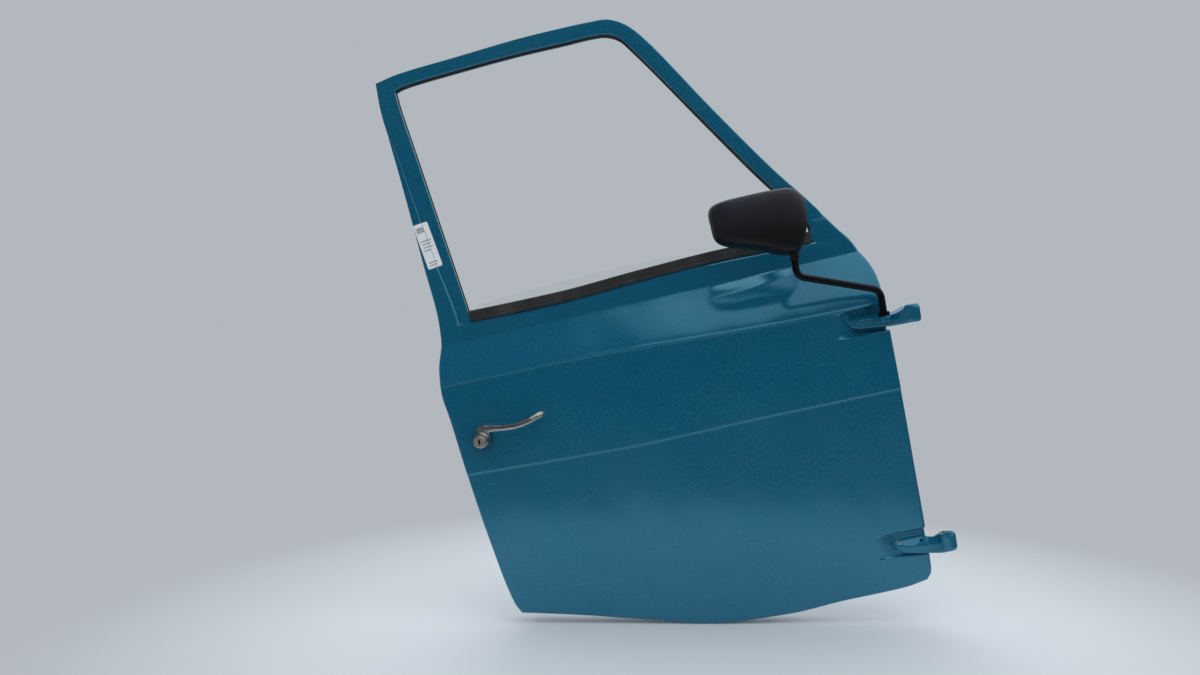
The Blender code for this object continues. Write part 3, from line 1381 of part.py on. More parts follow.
def latch_frame():
    """Matrix of the latch: local X runs forward from the rear wall, Y inboard and Z up along the wall."""
    handle = handle_place()
    z = handle.y + LATCH_LIFT
    low, high = z - LATCH_HEIGHT / 2, z + LATCH_HEIGHT / 2
    lean = math.atan2(rear_edge(high) - rear_edge(low), LATCH_HEIGHT)
    wall = rear_edge(z) + FLANGE_END + WALL_DRAFT + LATCH_SEAT_GAP
    return Matrix.Translation((wall, out(0), z)) @ Matrix.Rotation(lean, 4, "Y")


LATCH_LIFT = 0.026
LATCH_SEAT_GAP = 0.0008
LATCH_FACE = -0.026
FORK_PLACE = (-0.0075, 0.012)
FORK_OPEN = math.radians(-130)
FORK_SWING = math.radians(40)
PAWL_PLACE = (0.001, -0.022)
TAIL_REACH = 0.020
PAWL_X = 0.0045


ALONG_WALL = Matrix(((0, 0, 1, 0), (-1, 0, 0, 0), (0, 1, 0, 0), (0, 0, 0, 1)))


def wall_plate(loops, thickness, depth):
    """A plate parallel to the rear wall: its loops are (height, z) in the latch's frame."""
    return plate(loops, thickness, latch_frame() @ Matrix.Translation((depth, 0, 0)) @ ALONG_WALL)


def latch_case(collection, tools):
    """Pressed case, open towards the wall, with a mouth for the striker and pins for fork and pawl."""
    low, high = -LATCH_HEIGHT / 2, LATCH_HEIGHT / 2
    near, far = LATCH_FACE, LATCH_FACE + LATCH_WIDTH
    body = bmesh.new()
    base = [body.verts.new((LATCH_DEPTH, -y, z)) for y, z in ((near, low), (far, low), (far, high), (near, high))]
    rim = [body.verts.new((0, v.co.y, v.co.z)) for v in base]
    body.faces.new(base)
    for step in range(4):
        body.faces.new((base[step], base[(step + 1) % 4], rim[(step + 1) % 4], rim[step]))
    bmesh.ops.recalc_face_normals(body, faces=body.faces)
    back = [f for f in body.faces if abs(f.normal.x) > 0.5][0]
    if back.normal.x < 0:
        bmesh.ops.reverse_faces(body, faces=body.faces)
    bmesh.ops.transform(body, matrix=latch_frame(), verts=body.verts)
    piece = link("latch_case", mesh_from("latch_case", body), "zinc_steel", collection)
    thicken(piece, LATCH_WALL)
    pins = []
    for height, z in (FORK_PLACE, PAWL_PLACE):
        pins.append(cylinder((LATCH_SEAT_GAP, -height, z), (LATCH_DEPTH - LATCH_WALL / 2, -height, z),
                             LATCH_PIN_RADIUS, segments=12))
    for number, pin in enumerate(pins):
        bmesh.ops.transform(pin, matrix=latch_frame(), verts=pin.verts)
        shape = link(f"latch_pin_{number}", mesh_from(f"latch_pin_{number}", pin), None, tools)
        shape.hide_render = True
        shape.display_type = "WIRE"
        join(piece, shape)
    half = STRIKER_SLOT / 2
    mouth = box((-OVERRUN, -(LATCH_FACE + STRIKER_REACH), -half),
                (LATCH_DEPTH - 2 * LATCH_WALL, -LATCH_FACE + OVERRUN, half))
    tail = PAWL_PLACE[0] - TAIL_REACH
    window = box((LATCH_DEPTH - 2 * LATCH_WALL, -(tail + PAWL_WIDTH * 0.6), PAWL_PLACE[1] - PAWL_WIDTH * 0.6),
                 (LATCH_DEPTH + OVERRUN, -(tail - PAWL_WIDTH * 0.4), PAWL_PLACE[1] + PAWL_WIDTH * 1.1))
    openings = merged(mouth, window)
    bmesh.ops.transform(openings, matrix=latch_frame(), verts=openings.verts)
    cut(piece, cutter_from("latch_openings", openings, tools))
    return piece


def latch_fork(collection):
    """Round fork whose notch takes the striker, shown open."""
    height, z = FORK_PLACE
    half = FORK_NOTCH / 2
    outline = []
    notch = FORK_OPEN
    spread = math.asin(half / FORK_RADIUS)
    catch = math.atan2(PAWL_PLACE[1] + PAWL_NOSE - z, PAWL_PLACE[0] - height) - FORK_SWING
    steps = 26
    for step in range(steps + 1):
        turn = notch + spread + (math.tau - 2 * spread) * step / steps
        size = FORK_RADIUS * (0.84 if abs(turn - catch) < math.radians(8) else 1)
        outline.append((height + size * math.cos(turn), z + size * math.sin(turn)))
    along = Vector((math.cos(notch), math.sin(notch)))
    across = Vector((-along.y, along.x))
    floor = Vector((height, z)) + along * (LATCH_PIN_RADIUS + half)
    outline += [tuple(floor - across * half), tuple(floor + across * half)]
    body = wall_plate([outline, circle((height, z), LATCH_PIN_RADIUS + RUNNING_GAP, 12)], FORK_THICKNESS,
                      PAWL_X + FORK_THICKNESS / 2)
    return link("latch_fork", mesh_from("latch_fork", body), "zinc_steel", collection)


def latch_pawl(collection, tools):
    """Pawl with a nose under the fork and a tail whose pin stands out over the spindle's cam."""
    height, z = PAWL_PLACE
    half = PAWL_WIDTH / 2
    nose = PAWL_NOSE
    outline = [(height + half, z - half), (height + half * 1.2, z + half), (height + half * 0.7, z + nose),
               (height - half * 0.5, z + nose), (height - half * 1.1, z + half * 1.2),
               (height - TAIL_REACH - half * 0.7, z + half * 0.8), (height - TAIL_REACH - half * 0.7, z - half * 0.8),
               (height - half * 0.4, z - half * 1.3)]
    body = wall_plate([outline, circle((height, z), LATCH_PIN_RADIUS + RUNNING_GAP, 12)], FORK_THICKNESS,
                      PAWL_X + FORK_THICKNESS / 2)
    piece = link("latch_pawl", mesh_from("latch_pawl", body), "zinc_steel", collection)
    pin = cylinder((PAWL_X + FORK_THICKNESS / 2, -(height - TAIL_REACH), z),
                   (LATCH_DEPTH + TAIL_PIN_END, -(height - TAIL_REACH), z), TAIL_PIN_RADIUS, segments=10)
    bmesh.ops.transform(pin, matrix=latch_frame(), verts=pin.verts)
    shape = link("tail_pin", mesh_from("tail_pin", pin), None, tools)
    shape.hide_render = True
    shape.display_type = "WIRE"
    join(piece, shape)
    return piece


TAIL_PIN_END = 0.009


def spindle_cam(collection, tools):
    """Cam on the square spindle whose finger lifts the pawl's tail."""
    place = handle_place()
    tail = latch_frame() @ Vector((LATCH_DEPTH + TAIL_PIN_END / 2, -(PAWL_PLACE[0] - TAIL_REACH), PAWL_PLACE[1]))
    top = tail.z - TAIL_PIN_RADIUS - FIT
    reach = place.x - tail.x
    height = AXIS_STANDOFF - tail.y
    outline = [(place.x - reach - CAM_FINGER / 2, top), (place.x - reach - CAM_FINGER / 2, top - CAM_FINGER)]
    for step in range(11):
        turn = math.radians(200 + 310 * step / 10)
        outline.append((place.x + CAM_RADIUS * math.cos(turn), place.y + CAM_RADIUS * math.sin(turn)))
    body = upright_plate([outline], CAM_THICKNESS, height)
    piece = link("spindle_cam", mesh_from("spindle_cam", body), "zinc_steel", collection)
    half = SPINDLE_SQUARE / 2 + FIT
    socket = box((place.x - half, out(height) - CAM_THICKNESS, place.y - half),
                 (place.x + half, out(height) + CAM_THICKNESS, place.y + half))
    cut(piece, cutter_from("cam_socket", socket, tools))
    return piece


# Hinges


def hinge_stations(hinge):
    """Along the arm from its tip: (x, lower z, upper z, back height, front height)."""
    centre = HINGES[hinge]
    eye = EYE_HEIGHT
    reach_share = POCKET_SHARES[hinge][0]
    mouth = front_edge(centre)
    tip = mouth - eye * reach_share * 0.81
    seat = POCKET_FLOOR + FIT
    thick = ARM_THICKNESS
    half = eye * (0.27 if hinge == "upper" else 0.355)
    drop = eye * (0.22 if hinge == "upper" else 0.02)
    top = AXIS_STANDOFF
    last = -EYE_RADIUS * 0.3
    bend = last - mouth
    return (
        (tip, centre - drop, centre - drop + half * 0.7, seat, seat + thick * 0.6),
        (tip + eye * 0.5, centre - drop - half, centre - drop + half, seat, seat + thick),
        (mouth - eye * 0.3, centre - drop - half, centre - drop + half * 1.2, seat, seat + thick),
        (mouth + bend * 0.10, centre - drop * 0.8 - half, centre + half * 1.15 - drop * 0.6,
         seat + thick * 0.35, seat + thick * 1.35),
        (mouth + bend * 0.74, centre - eye * 0.45, centre + eye * 0.45, top - thick * 1.15,
         top + thick * 0.1),
        (last, centre - eye * 0.46, centre + eye * 0.46, top - thick * 0.5, top + thick * 0.55),
    )


ARM_THICKNESS = 0.012


def hinge_arm(hinge, collection, tools, bolts):
    body = bmesh.new()
    rings = []
    for x, low, high, back, front in hinge_stations(hinge):
        bevel = min(high - low, front - back) * 0.22
        loop = ((low, back), (high, back), (high, front - bevel), (high - bevel, front), (low + bevel, front),
                (low, front - bevel))
        rings.append([body.verts.new((x, out(height), z)) for z, height in loop])
    for first, second in zip(rings, rings[1:]):
        for step in range(len(first)):
            after = (step + 1) % len(first)
            body.faces.new((first[step], first[after], second[after], second[step]))
    body.faces.new(rings[0])
    body.faces.new(list(reversed(rings[-1])))
    bmesh.ops.recalc_face_normals(body, faces=body.faces)
    piece = link(f"hinge_arm_{hinge}", mesh_from(f"hinge_arm_{hinge}", body), PAINT, collection)
    centre = HINGES[hinge]
    eye = cylinder((0, 0, centre - EYE_HEIGHT / 2), (0, 0, centre + EYE_HEIGHT / 2), EYE_RADIUS, segments=24)
    shape = link(f"eye_{hinge}", mesh_from(f"eye_{hinge}", eye), None, tools)
    shape.hide_render = True
    shape.display_type = "WIRE"
    join(piece, shape)
    bore = cylinder((0, 0, centre - EYE_HEIGHT), (0, 0, centre + EYE_HEIGHT), EYE_BORE_RADIUS)
    drilled = [cylinder((x, out(POCKET_FLOOR) + OVERRUN, z), (x, out(POCKET_FLOOR + BOLT_BITE + FIT), z),
                        BOLT_RADIUS + FIT) for x, z in bolts]
    cut(piece, cutter_from(f"hinge_bores_{hinge}", merged(bore, *drilled), tools))
    if hinge == "upper":
        add_mirror_boss(piece, tools)
    return piece


def hinge_bolt_places(hinge):
    centre = HINGES[hinge]
    stations = hinge_stations(hinge)
    middle = (stations[1][1] + stations[1][2]) / 2
    start = stations[1][0] - EYE_HEIGHT * 0.03
    return [(start, middle), (start + BOLT_SPACING, middle)]


def hinge_plate(hinge, collection, bolts):
    """Reinforcement behind the pocket that the bolts' heads bear on."""
    (x0, z), (x1, _) = bolts
    low = (x0 - BOLT_HEAD_RADIUS * 1.1, z - BOLT_HEAD_RADIUS * 1.05)
    high = (x1 + BOLT_HEAD_RADIUS * 1.1, z + BOLT_HEAD_RADIUS * 1.05)
    holes = [circle(place, BOLT_RADIUS + BOLT_CLEARANCE, 16) for place in bolts]
    top = POCKET_FLOOR - SHEET - FIT
    body = upright_plate([rounded_box(low, high, BOLT_HEAD_RADIUS * 0.5)] + holes, REINFORCEMENT,
                         top - REINFORCEMENT / 2)
    return link(f"hinge_plate_{hinge}", mesh_from(f"hinge_plate_{hinge}", body), "zinc_steel", collection)


def hinge_bolts(hinge, collection, bolts):
    head_top = POCKET_FLOOR - SHEET - FIT - REINFORCEMENT - FIT
    length = POCKET_FLOOR + BOLT_BITE - head_top
    for number, (x, z) in enumerate(bolts, 1):
        shank = [(0, length), (BOLT_RADIUS, length), (BOLT_RADIUS, 0), (BOLT_HEAD_RADIUS, 0),
                 (BOLT_HEAD_RADIUS, -BOLT_HEAD * 0.75), (BOLT_HEAD_RADIUS * 0.85, -BOLT_HEAD), (0, -BOLT_HEAD)]
        name = f"hinge_bolt_{hinge}_{number}"
        body = turned(shank, Matrix.Translation((x, out(head_top), z)) @ FACING_OUT, 12)
        link(name, mesh_from(name, body), "zinc_steel", collection)


# Mirror


def tube_places():
    """Corners (x, z) of the tube: two over the hinge arm and two under the mirror, which they follow."""
    centre = at(MIRROR_CENTRE_SHARES)
    upper = [centre + Vector((x * MIRROR_WIDTH / 2, z * MIRROR_HEIGHT / 2)) for x, z in TUBE_TOP_SHARES]
    return [at(shares) for shares in TUBE_SHARES] + upper


def foot_place():
    x, z = tube_places()[0]
    return Vector((x, out(TUBE_FOOT_STANDOFF), z))


def add_mirror_boss(piece, tools):
    """Socket boss on the upper hinge arm that carries the mirror's tube."""
    foot = foot_place()
    low = foot.z - COLLAR_HEIGHT * 1.2
    boss = cylinder((foot.x, foot.y, low), (foot.x, foot.y, foot.z - FIT), COLLAR_RADIUS)
    stations = hinge_stations("upper")
    seat = stations[2][4]
    rib = box((foot.x - COLLAR_RADIUS * 0.7, foot.y, low),
              (foot.x + COLLAR_RADIUS * 0.7, out(seat - ARM_THICKNESS * 0.2), foot.z - FIT))
    for name, body in (("mirror_boss", boss), ("mirror_boss_rib", rib)):
        shape = link(name, mesh_from(name, body), None, tools)
        shape.hide_render = True
        shape.display_type = "WIRE"
        join(piece, shape)


def mirror_arm(collection):
    corners = []
    stands = (TUBE_FOOT_STANDOFF, TUBE_FOOT_STANDOFF, TUBE_TOP_STANDOFF, TUBE_TOP_STANDOFF)
    for (x, z), stand in zip(tube_places(), stands):
        corners.append((x, out(stand), z))
    return tube(bent(corners, TUBE_BEND), TUBE_RADIUS, collection, "mirror_arm", "black_enamel")


def mirror_collar(collection):
    """Threaded collar round the tube's foot, standing on the hinge arm's boss."""
    foot = foot_place()
    body = bmesh.new()
    body.free()
    ring = plate([circle((0, 0), COLLAR_RADIUS * 0.92, 20), circle((0, 0), TUBE_RADIUS + FIT, 20)],
                 COLLAR_HEIGHT, Matrix.Translation((foot.x, foot.y, foot.z + COLLAR_HEIGHT / 2)))
    return link("mirror_collar", mesh_from("mirror_collar", ring), "black_enamel", collection)


def mirror_points(scale_share, standoff):
    centre = at(MIRROR_CENTRE_SHARES)
    return [(centre.x + x * scale_share * MIRROR_WIDTH / 2, out(standoff), centre.y + z * scale_share
             * MIRROR_HEIGHT / 2) for x, z in MIRROR_OUTLINE_SHARES]


def mirror_housing(collection, tools):
    """Moulded bowl: its back faces outboard while the mirror is folded along the door."""
    body = bmesh.new()
    rings = []
    for depth_share, size_share in MIRROR_RING_SHARES:
        points = mirror_points(size_share, MIRROR_STANDOFF + MIRROR_DEPTH * depth_share)
        rings.append([body.verts.new(point) for point in points])
    for first, second in zip(rings, rings[1:]):
        for step in range(len(first)):
            after = (step + 1) % len(first)
            body.faces.new((first[step], first[after], second[after], second[step]))
    body.faces.new(rings[-1])
    bmesh.ops.recalc_face_normals(body, faces=body.faces)
    cap = max(body.faces, key=lambda face: len(face.verts))
    if cap.normal.y > 0:
        bmesh.ops.reverse_faces(body, faces=body.faces)
    piece = link("mirror_housing", mesh_from("mirror_housing", body), "black_plastic", collection)
    thicken(piece, MIRROR_WALL)
    neck = neck_place()
    socket = cylinder(neck - Vector((0, 0, OVERRUN)), neck + Vector((0, 0, NECK_SOCKET)), NECK_RADIUS + FIT * 2)
    cut(piece, cutter_from("neck_socket", socket, tools))
    smooth(piece)
    return piece


def neck_place():
    """Top of the mirror's neck, just under the housing."""
    x, z = tube_places()[-1]
    return Vector((x, out(TUBE_TOP_STANDOFF), z))


def mirror_glass(collection):
    outline = [(x, z) for x, _, z in mirror_points(1, 0)]
    body = upright_plate([inset_loop(outline, MIRROR_WALL + MIRROR_GLASS_GAP)], MIRROR_GLASS,
                         MIRROR_STANDOFF + MIRROR_RIM)
    return link("mirror_glass", mesh_from("mirror_glass", body), "mirror_silver", collection)


def inset_loop(loop, distance):
    """The outline moved inwards by a distance, with mitred corners."""
    points = [Vector(point) for point in loop]
    area = sum(a.x * b.y - b.x * a.y for a, b in zip(points, points[1:] + points[:1]))
    moved = []
    for number, point in enumerate(points):
        before, after = points[number - 1], points[(number + 1) % len(points)]
        first, second = (point - before).normalized(), (after - point).normalized()
        normals = [Vector((-edge.y, edge.x)) * (1 if area > 0 else -1) for edge in (first, second)]
        middle = (normals[0] + normals[1]).normalized()
        moved.append(tuple(point + middle * distance / middle.dot(normals[0])))
    return moved


def mirror_neck(collection, tools):
    """Moulded neck clamped on the tube's end, in which the housing turns."""
    top = neck_place()
    placing = Matrix.Translation(top)
    profile = [(0, NECK_SOCKET - FIT), (NECK_RADIUS * 0.8, NECK_SOCKET - FIT), (NECK_RADIUS, 0),
               (NECK_RADIUS, -NECK_HEIGHT * 0.6), (NECK_RADIUS * 0.8, -NECK_HEIGHT), (0, -NECK_HEIGHT)]
    piece = link("mirror_neck", mesh_from("mirror_neck", turned(profile, placing, 20)), "black_plastic",
                 collection)
    bore = cylinder(top - Vector((0, 0, NECK_HEIGHT + OVERRUN)), top + Vector((0, 0, FIT)), TUBE_RADIUS + FIT)
    cut(piece, cutter_from("neck_bore", bore, tools))
    return piece


def inner_holes():
    """Openings of the inner panel: access holes, spindles, screws and the striker's slot."""
    bodies = []
    floor = floor_height()
    for (near_share, low_share), (far_share, high_share) in ACCESS_HOLE_SHARES:
        low, high = at((far_share, low_share)), at((near_share, high_share))
        bodies.append(upright_plate([rounded_box(low, high, ACCESS_RADIUS, 6)], OVERRUN, floor - SHEET / 2))
    w = winder()
    gap = w["pivot"].y - w["pinion"].y
    small = [(w["pinion"], SPINDLE_RADIUS * 1.6), (handle_place(), SPINDLE_SQUARE)]
    small += [(w["pivot"] + Vector(corner), SCREW_RADIUS + BOLT_CLEARANCE) for corner in backplate_corners(gap)]
    for place, radius in small:
        bodies.append(cylinder((place.x, out(floor) - OVERRUN, place.y),
                               (place.x, out(floor) + OVERRUN, place.y), radius, segments=12))
    half = STRIKER_SLOT / 2
    slot = box((-LATCH_DEPTH / 2, -(LATCH_FACE + STRIKER_REACH), -half),
               (LATCH_DEPTH, -floor + OVERRUN, half))
    bmesh.ops.transform(slot, matrix=latch_frame(), verts=slot.verts)
    bodies.append(slot)
    return merged(*bodies)


def build():
    for leftover in list(bpy.data.objects):
        bpy.data.objects.remove(leftover)
    door = bpy.data.collections.new("van_door")
    tools = bpy.data.collections.new("cutters")
    bpy.context.scene.collection.children.link(door)
    bpy.context.scene.collection.children.link(tools)
    grid = skin_grid()
    bolts = {hinge: hinge_bolt_places(hinge) for hinge in HINGES}
    outer_panel(door, tools, grid, bolts["upper"] + bolts["lower"])
    inner_panel(door, tools, grid, inner_holes())
    window_frame(door)
    guide_rail("guide_rail_rear", False, door)
    guide_rail("guide_rail_front", True, door)
    guide_bracket("guide_bracket_rear", False, door)
    guide_bracket("guide_bracket_front", True, door)
    glass_run(door)
    belt_seal_outer(door)
    belt_seal_inner(door)
    window_glass(door)
    lift_parts(door)
    sector_arm(door, tools)
    lift_roller(door)
    winder_pinion(door, tools)
    winder_backplate(door, tools)
    winder_screws(door)
    window_crank(door, tools)
    crank_knob(door, tools)
    crank_escutcheon(door)
    handle_gasket(door)
    outer_handle(door, tools)
    lock_barrel(door, tools)
    square_spindle(door)
    inner_lever(door, tools)
    latch_case(door, tools)
    latch_fork(door)
    latch_pawl(door, tools)
    spindle_cam(door, tools)
    for hinge in HINGES:
        hinge_arm(hinge, door, tools, bolts[hinge])
        hinge_plate(hinge, door, bolts[hinge])
        hinge_bolts(hinge, door, bolts[hinge])
    mirror_arm(door)
    mirror_collar(door)
    mirror_housing(door, tools)
    mirror_glass(door)
    mirror_neck(door, tools)


build()
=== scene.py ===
# %% [markdown]
# # A small van's door, seen from outside
#
# The door is a shell of pressed steel with a window frame, a winding glass, a turning handle, two strap
# hinges and a mirror on a bent tube. The working model gives every piece its place and its motion. This
# script gives each visible piece its fine shape and its finish, one piece or finish to a cell.

import json
import math

import bmesh
import bpy
import numpy as np
from mathutils import Matrix, Vector


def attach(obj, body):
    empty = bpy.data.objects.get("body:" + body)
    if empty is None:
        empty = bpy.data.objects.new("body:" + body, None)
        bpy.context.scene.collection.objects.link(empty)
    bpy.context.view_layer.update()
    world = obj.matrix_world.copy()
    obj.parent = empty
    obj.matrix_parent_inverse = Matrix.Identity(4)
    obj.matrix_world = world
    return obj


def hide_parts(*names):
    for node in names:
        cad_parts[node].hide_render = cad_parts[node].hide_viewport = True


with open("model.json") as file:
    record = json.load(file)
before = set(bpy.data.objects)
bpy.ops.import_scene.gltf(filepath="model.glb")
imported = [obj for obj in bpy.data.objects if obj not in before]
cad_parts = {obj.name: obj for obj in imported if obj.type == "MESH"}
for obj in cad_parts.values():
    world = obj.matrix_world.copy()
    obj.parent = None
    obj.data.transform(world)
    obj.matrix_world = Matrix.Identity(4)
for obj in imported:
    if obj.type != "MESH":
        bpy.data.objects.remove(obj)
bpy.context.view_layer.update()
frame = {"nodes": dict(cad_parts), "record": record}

# %% [markdown]
# ## Sizes
#
# All lengths are in metres. X runs forwards, -Y points out of the vehicle and Z runs up the hinge axis. It
# helps to speak of a height: how far a point stands outboard of the window frame's face. One function turns
# a height into the world's Y.

# %% Sizes and the height function
HINGE_STANDOFF = 0.055
DOOR_LENGTH, DOOR_HEIGHT = 0.874, 1.010
SHEET = 0.001


def out(height):
    """World Y of a height outboard of the window frame's face."""
    return HINGE_STANDOFF - height


def at(back, up):
    """World X and Z of a place given as shares of the door's length and height."""
    return Vector((-back * DOOR_LENGTH, up * DOOR_HEIGHT))


print("door", DOOR_LENGTH, "by", DOOR_HEIGHT)

# %% [markdown]
# ## Camera
#
# The door leans by nine degrees in the picture and the camera faces it squarely. Rather than lean the door,
# the camera is rolled: its right and up directions are written down as the columns of its matrix.

# %% Camera
LEAN = math.radians(9.0)
PICTURE_RIGHT = Vector((math.cos(LEAN), 0, -math.sin(LEAN)))
PICTURE_UP = Vector((math.sin(LEAN), 0, math.cos(LEAN)))
AIM = Vector((-0.5432, out(0), 0.4449))
DISTANCE = 1.70
MM_PER_PIXEL, PICTURE_WIDTH = 1.8, 1200
SENSOR_WIDTH = 36

camera_data = bpy.data.cameras.new("door_camera")
camera_data.sensor_width = SENSOR_WIDTH
camera_data.lens = SENSOR_WIDTH * (DISTANCE * 1000 / MM_PER_PIXEL) / PICTURE_WIDTH
camera = bpy.data.objects.new("door_camera", camera_data)
bpy.context.scene.collection.objects.link(camera)
eye = AIM - Vector((0, DISTANCE, 0))
camera.matrix_world = Matrix((
    (PICTURE_RIGHT.x, PICTURE_UP.x, 0, eye.x),
    (PICTURE_RIGHT.y, PICTURE_UP.y, -1, eye.y),
    (PICTURE_RIGHT.z, PICTURE_UP.z, 0, eye.z),
    (0, 0, 0, 1),
))
bpy.context.scene.camera = camera
bpy.context.scene.view_settings.view_transform = "Standard"
print("lens", round(camera_data.lens, 2))

# %% [markdown]
# ## Curves through measured points
#
# The outline and the creases are known at a dozen points each. Straight lines between them would show as
# kinks in a glossy panel, so a smooth cubic runs through them. Its slope at each point is the mean of the
# slopes on both sides, which keeps it from swinging past the points.

# %% A smooth curve through a table


def curve_through(table):
    """A smooth function through (x, y) pairs, straight beyond its ends."""
    xs = np.array([pair[0] for pair in table], float)
    ys = np.array([pair[1] for pair in table], float)
    steps = np.diff(ys) / np.diff(xs)
    slopes = np.empty(len(xs))
    slopes[0], slopes[-1] = steps[0], steps[-1]
    same_way = steps[:-1] * steps[1:] > 0
    with np.errstate(divide="ignore", invalid="ignore"):
        mean = 2 * steps[:-1] * steps[1:] / (steps[:-1] + steps[1:])
    slopes[1:-1] = np.where(same_way, mean, 0)

    def value(x):
        x = np.asarray(x, float)
        cell = np.clip(np.searchsorted(xs, x) - 1, 0, len(xs) - 2)
        width = xs[cell + 1] - xs[cell]
        share = (x - xs[cell]) / width
        inside = np.clip(share, 0, 1)
        h00 = 2 * inside ** 3 - 3 * inside ** 2 + 1
        h10 = inside ** 3 - 2 * inside ** 2 + inside
        h01 = -2 * inside ** 3 + 3 * inside ** 2
        h11 = inside ** 3 - inside ** 2
        curve = (h00 * ys[cell] + h10 * width * slopes[cell] + h01 * ys[cell + 1]
                 + h11 * width * slopes[cell + 1])
        beyond = share - inside
        end_slope = np.where(beyond > 0, slopes[cell + 1], slopes[cell])
        return curve + beyond * width * end_slope

    return value


print("half way up a ramp:", float(curve_through([(0, 0), (1, 1), (2, 2)])(1.0)))

# %% [markdown]
# ## The door's lines
#
# These tables are the door's design: its two upright edges and the lines that run across the pressing, from
# the sill to the belt. Along each line, 0 is the rear edge and 1 the front edge.

# %% Outline and crease tables
rear_share = curve_through((
    (-0.017, 0.866), (0.002, 0.877), (0.114, 0.904), (0.225, 0.926), (0.336, 0.945), (0.391, 0.955),
    (0.424, 0.955), (0.480, 0.946), (0.506, 0.945), (0.619, 0.958), (0.773, 0.977), (0.928, 0.9995)))
front_share = curve_through((
    (-0.071, 0.040), (-0.056, 0.029), (0.036, 0.0315), (0.123, 0.035), (0.252, 0.0385), (0.383, 0.0425),
    (0.436, 0.044), (0.471, 0.047), (0.494, 0.0535), (0.518, 0.066), (0.543, 0.081), (0.567, 0.104),
    (0.616, 0.145)))
sill_line = curve_through(((0, -0.017), (0.14, -0.037), (0.3, -0.063), (0.51, -0.092), (0.65, -0.093),
                           (0.79, -0.085), (0.94, -0.079), (1, -0.071)))
ridge_line = curve_through(((0, 0.238), (0.34, 0.2415), (0.66, 0.2555), (1, 0.269)))
bead_line = curve_through(((0, 0.400), (0.4, 0.413), (0.67, 0.414), (1, 0.422)))
lower_crease_line = curve_through(((0, 0.464), (0.42, 0.476), (0.67, 0.481), (0.81, 0.494), (1, 0.517)))
upper_crease_line = curve_through(((0, 0.468), (1, 0.520)))
belt_line = curve_through(((0, 0.501), (0.3, 0.513), (0.5, 0.529), (0.72, 0.5435), (0.92, 0.549),
                           (1, 0.556)))


def rear_edge(z):
    return -DOOR_LENGTH * rear_share(np.asarray(z) / DOOR_HEIGHT)


def front_edge(z):
    return -DOOR_LENGTH * front_share(np.asarray(z) / DOOR_HEIGHT)


print("width at the handle", round(float(front_edge(0.302) - rear_edge(0.302)), 4))

# %% [markdown]
# ## Mesh helpers
#
# Most pieces here are sheets: a grid of points that gets its thickness from a Solidify modifier, as the steel
# does from the coil. The helpers below turn a grid of points into an object, and hand it to the body that it
# moves with.

# %% Mesh helpers
door_collection = bpy.data.collections.new("van_door")
bpy.context.scene.collection.children.link(door_collection)


def add_piece(name, points, faces, body, nodes=()):
    """A mesh object that rides on a body and stands for some nodes of the working model."""
    mesh = bpy.data.meshes.new(name)
    mesh.from_pydata([tuple(point) for point in points], [], [tuple(face) for face in faces])
    mesh.validate()
    piece = bpy.data.objects.new(name, mesh)
    door_collection.objects.link(piece)
    return dress(piece, body, nodes)


def dress(piece, body, nodes=()):
    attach(piece, body)
    if nodes:
        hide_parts(*nodes)
    return piece


def grid_faces(rows, columns):
    """Faces of a grid whose points are numbered row by row."""
    faces = []
    for row in range(rows - 1):
        for column in range(columns - 1):
            first = row * columns + column
            faces.append((first, first + 1, first + columns + 1, first + columns))
    return faces


def thicken(piece, thickness, side=-1.0):
    shell = piece.modifiers.new("Sheet thickness", "SOLIDIFY")
    shell.thickness = thickness
    shell.offset = side
    shell.use_even_offset = True


def smooth(piece, degrees=40):
    piece.data.shade_smooth()
    piece.data.set_sharp_from_angle(angle=math.radians(degrees))


print("collection", door_collection.name)

# %% [markdown]
# ## Outer panel
#
# The pressing is drawn the way a body draughtsman would: a section is known on each line across the door, and
# the surface runs smoothly between the sections. From the sill the section bulges out to a ridge, steps up by
# two millimetres, falls gently to a fine bead and then turns in over the shoulder to the flat belt. Each
# corner of the section is softened by averaging it over a millimetre to each side.

# %% Section of the pressing
RIDGE_HEIGHT, RIDGE_STEP, RIDGE_RISE = 0.038, 0.002, 0.003
BEAD_HEIGHT, SILL_HEIGHT = 0.037, 0.020
BEAD_RAISE, BEAD_WIDTH = 0.0010, 0.0024
SKIN_UPSTAND = 0.012
POCKET_FLOOR = 0.020
EYE_HEIGHT, HINGE_SPAN = 0.032, 0.402
LAP_REAR, LAP_FRONT = 0.036, 0.048


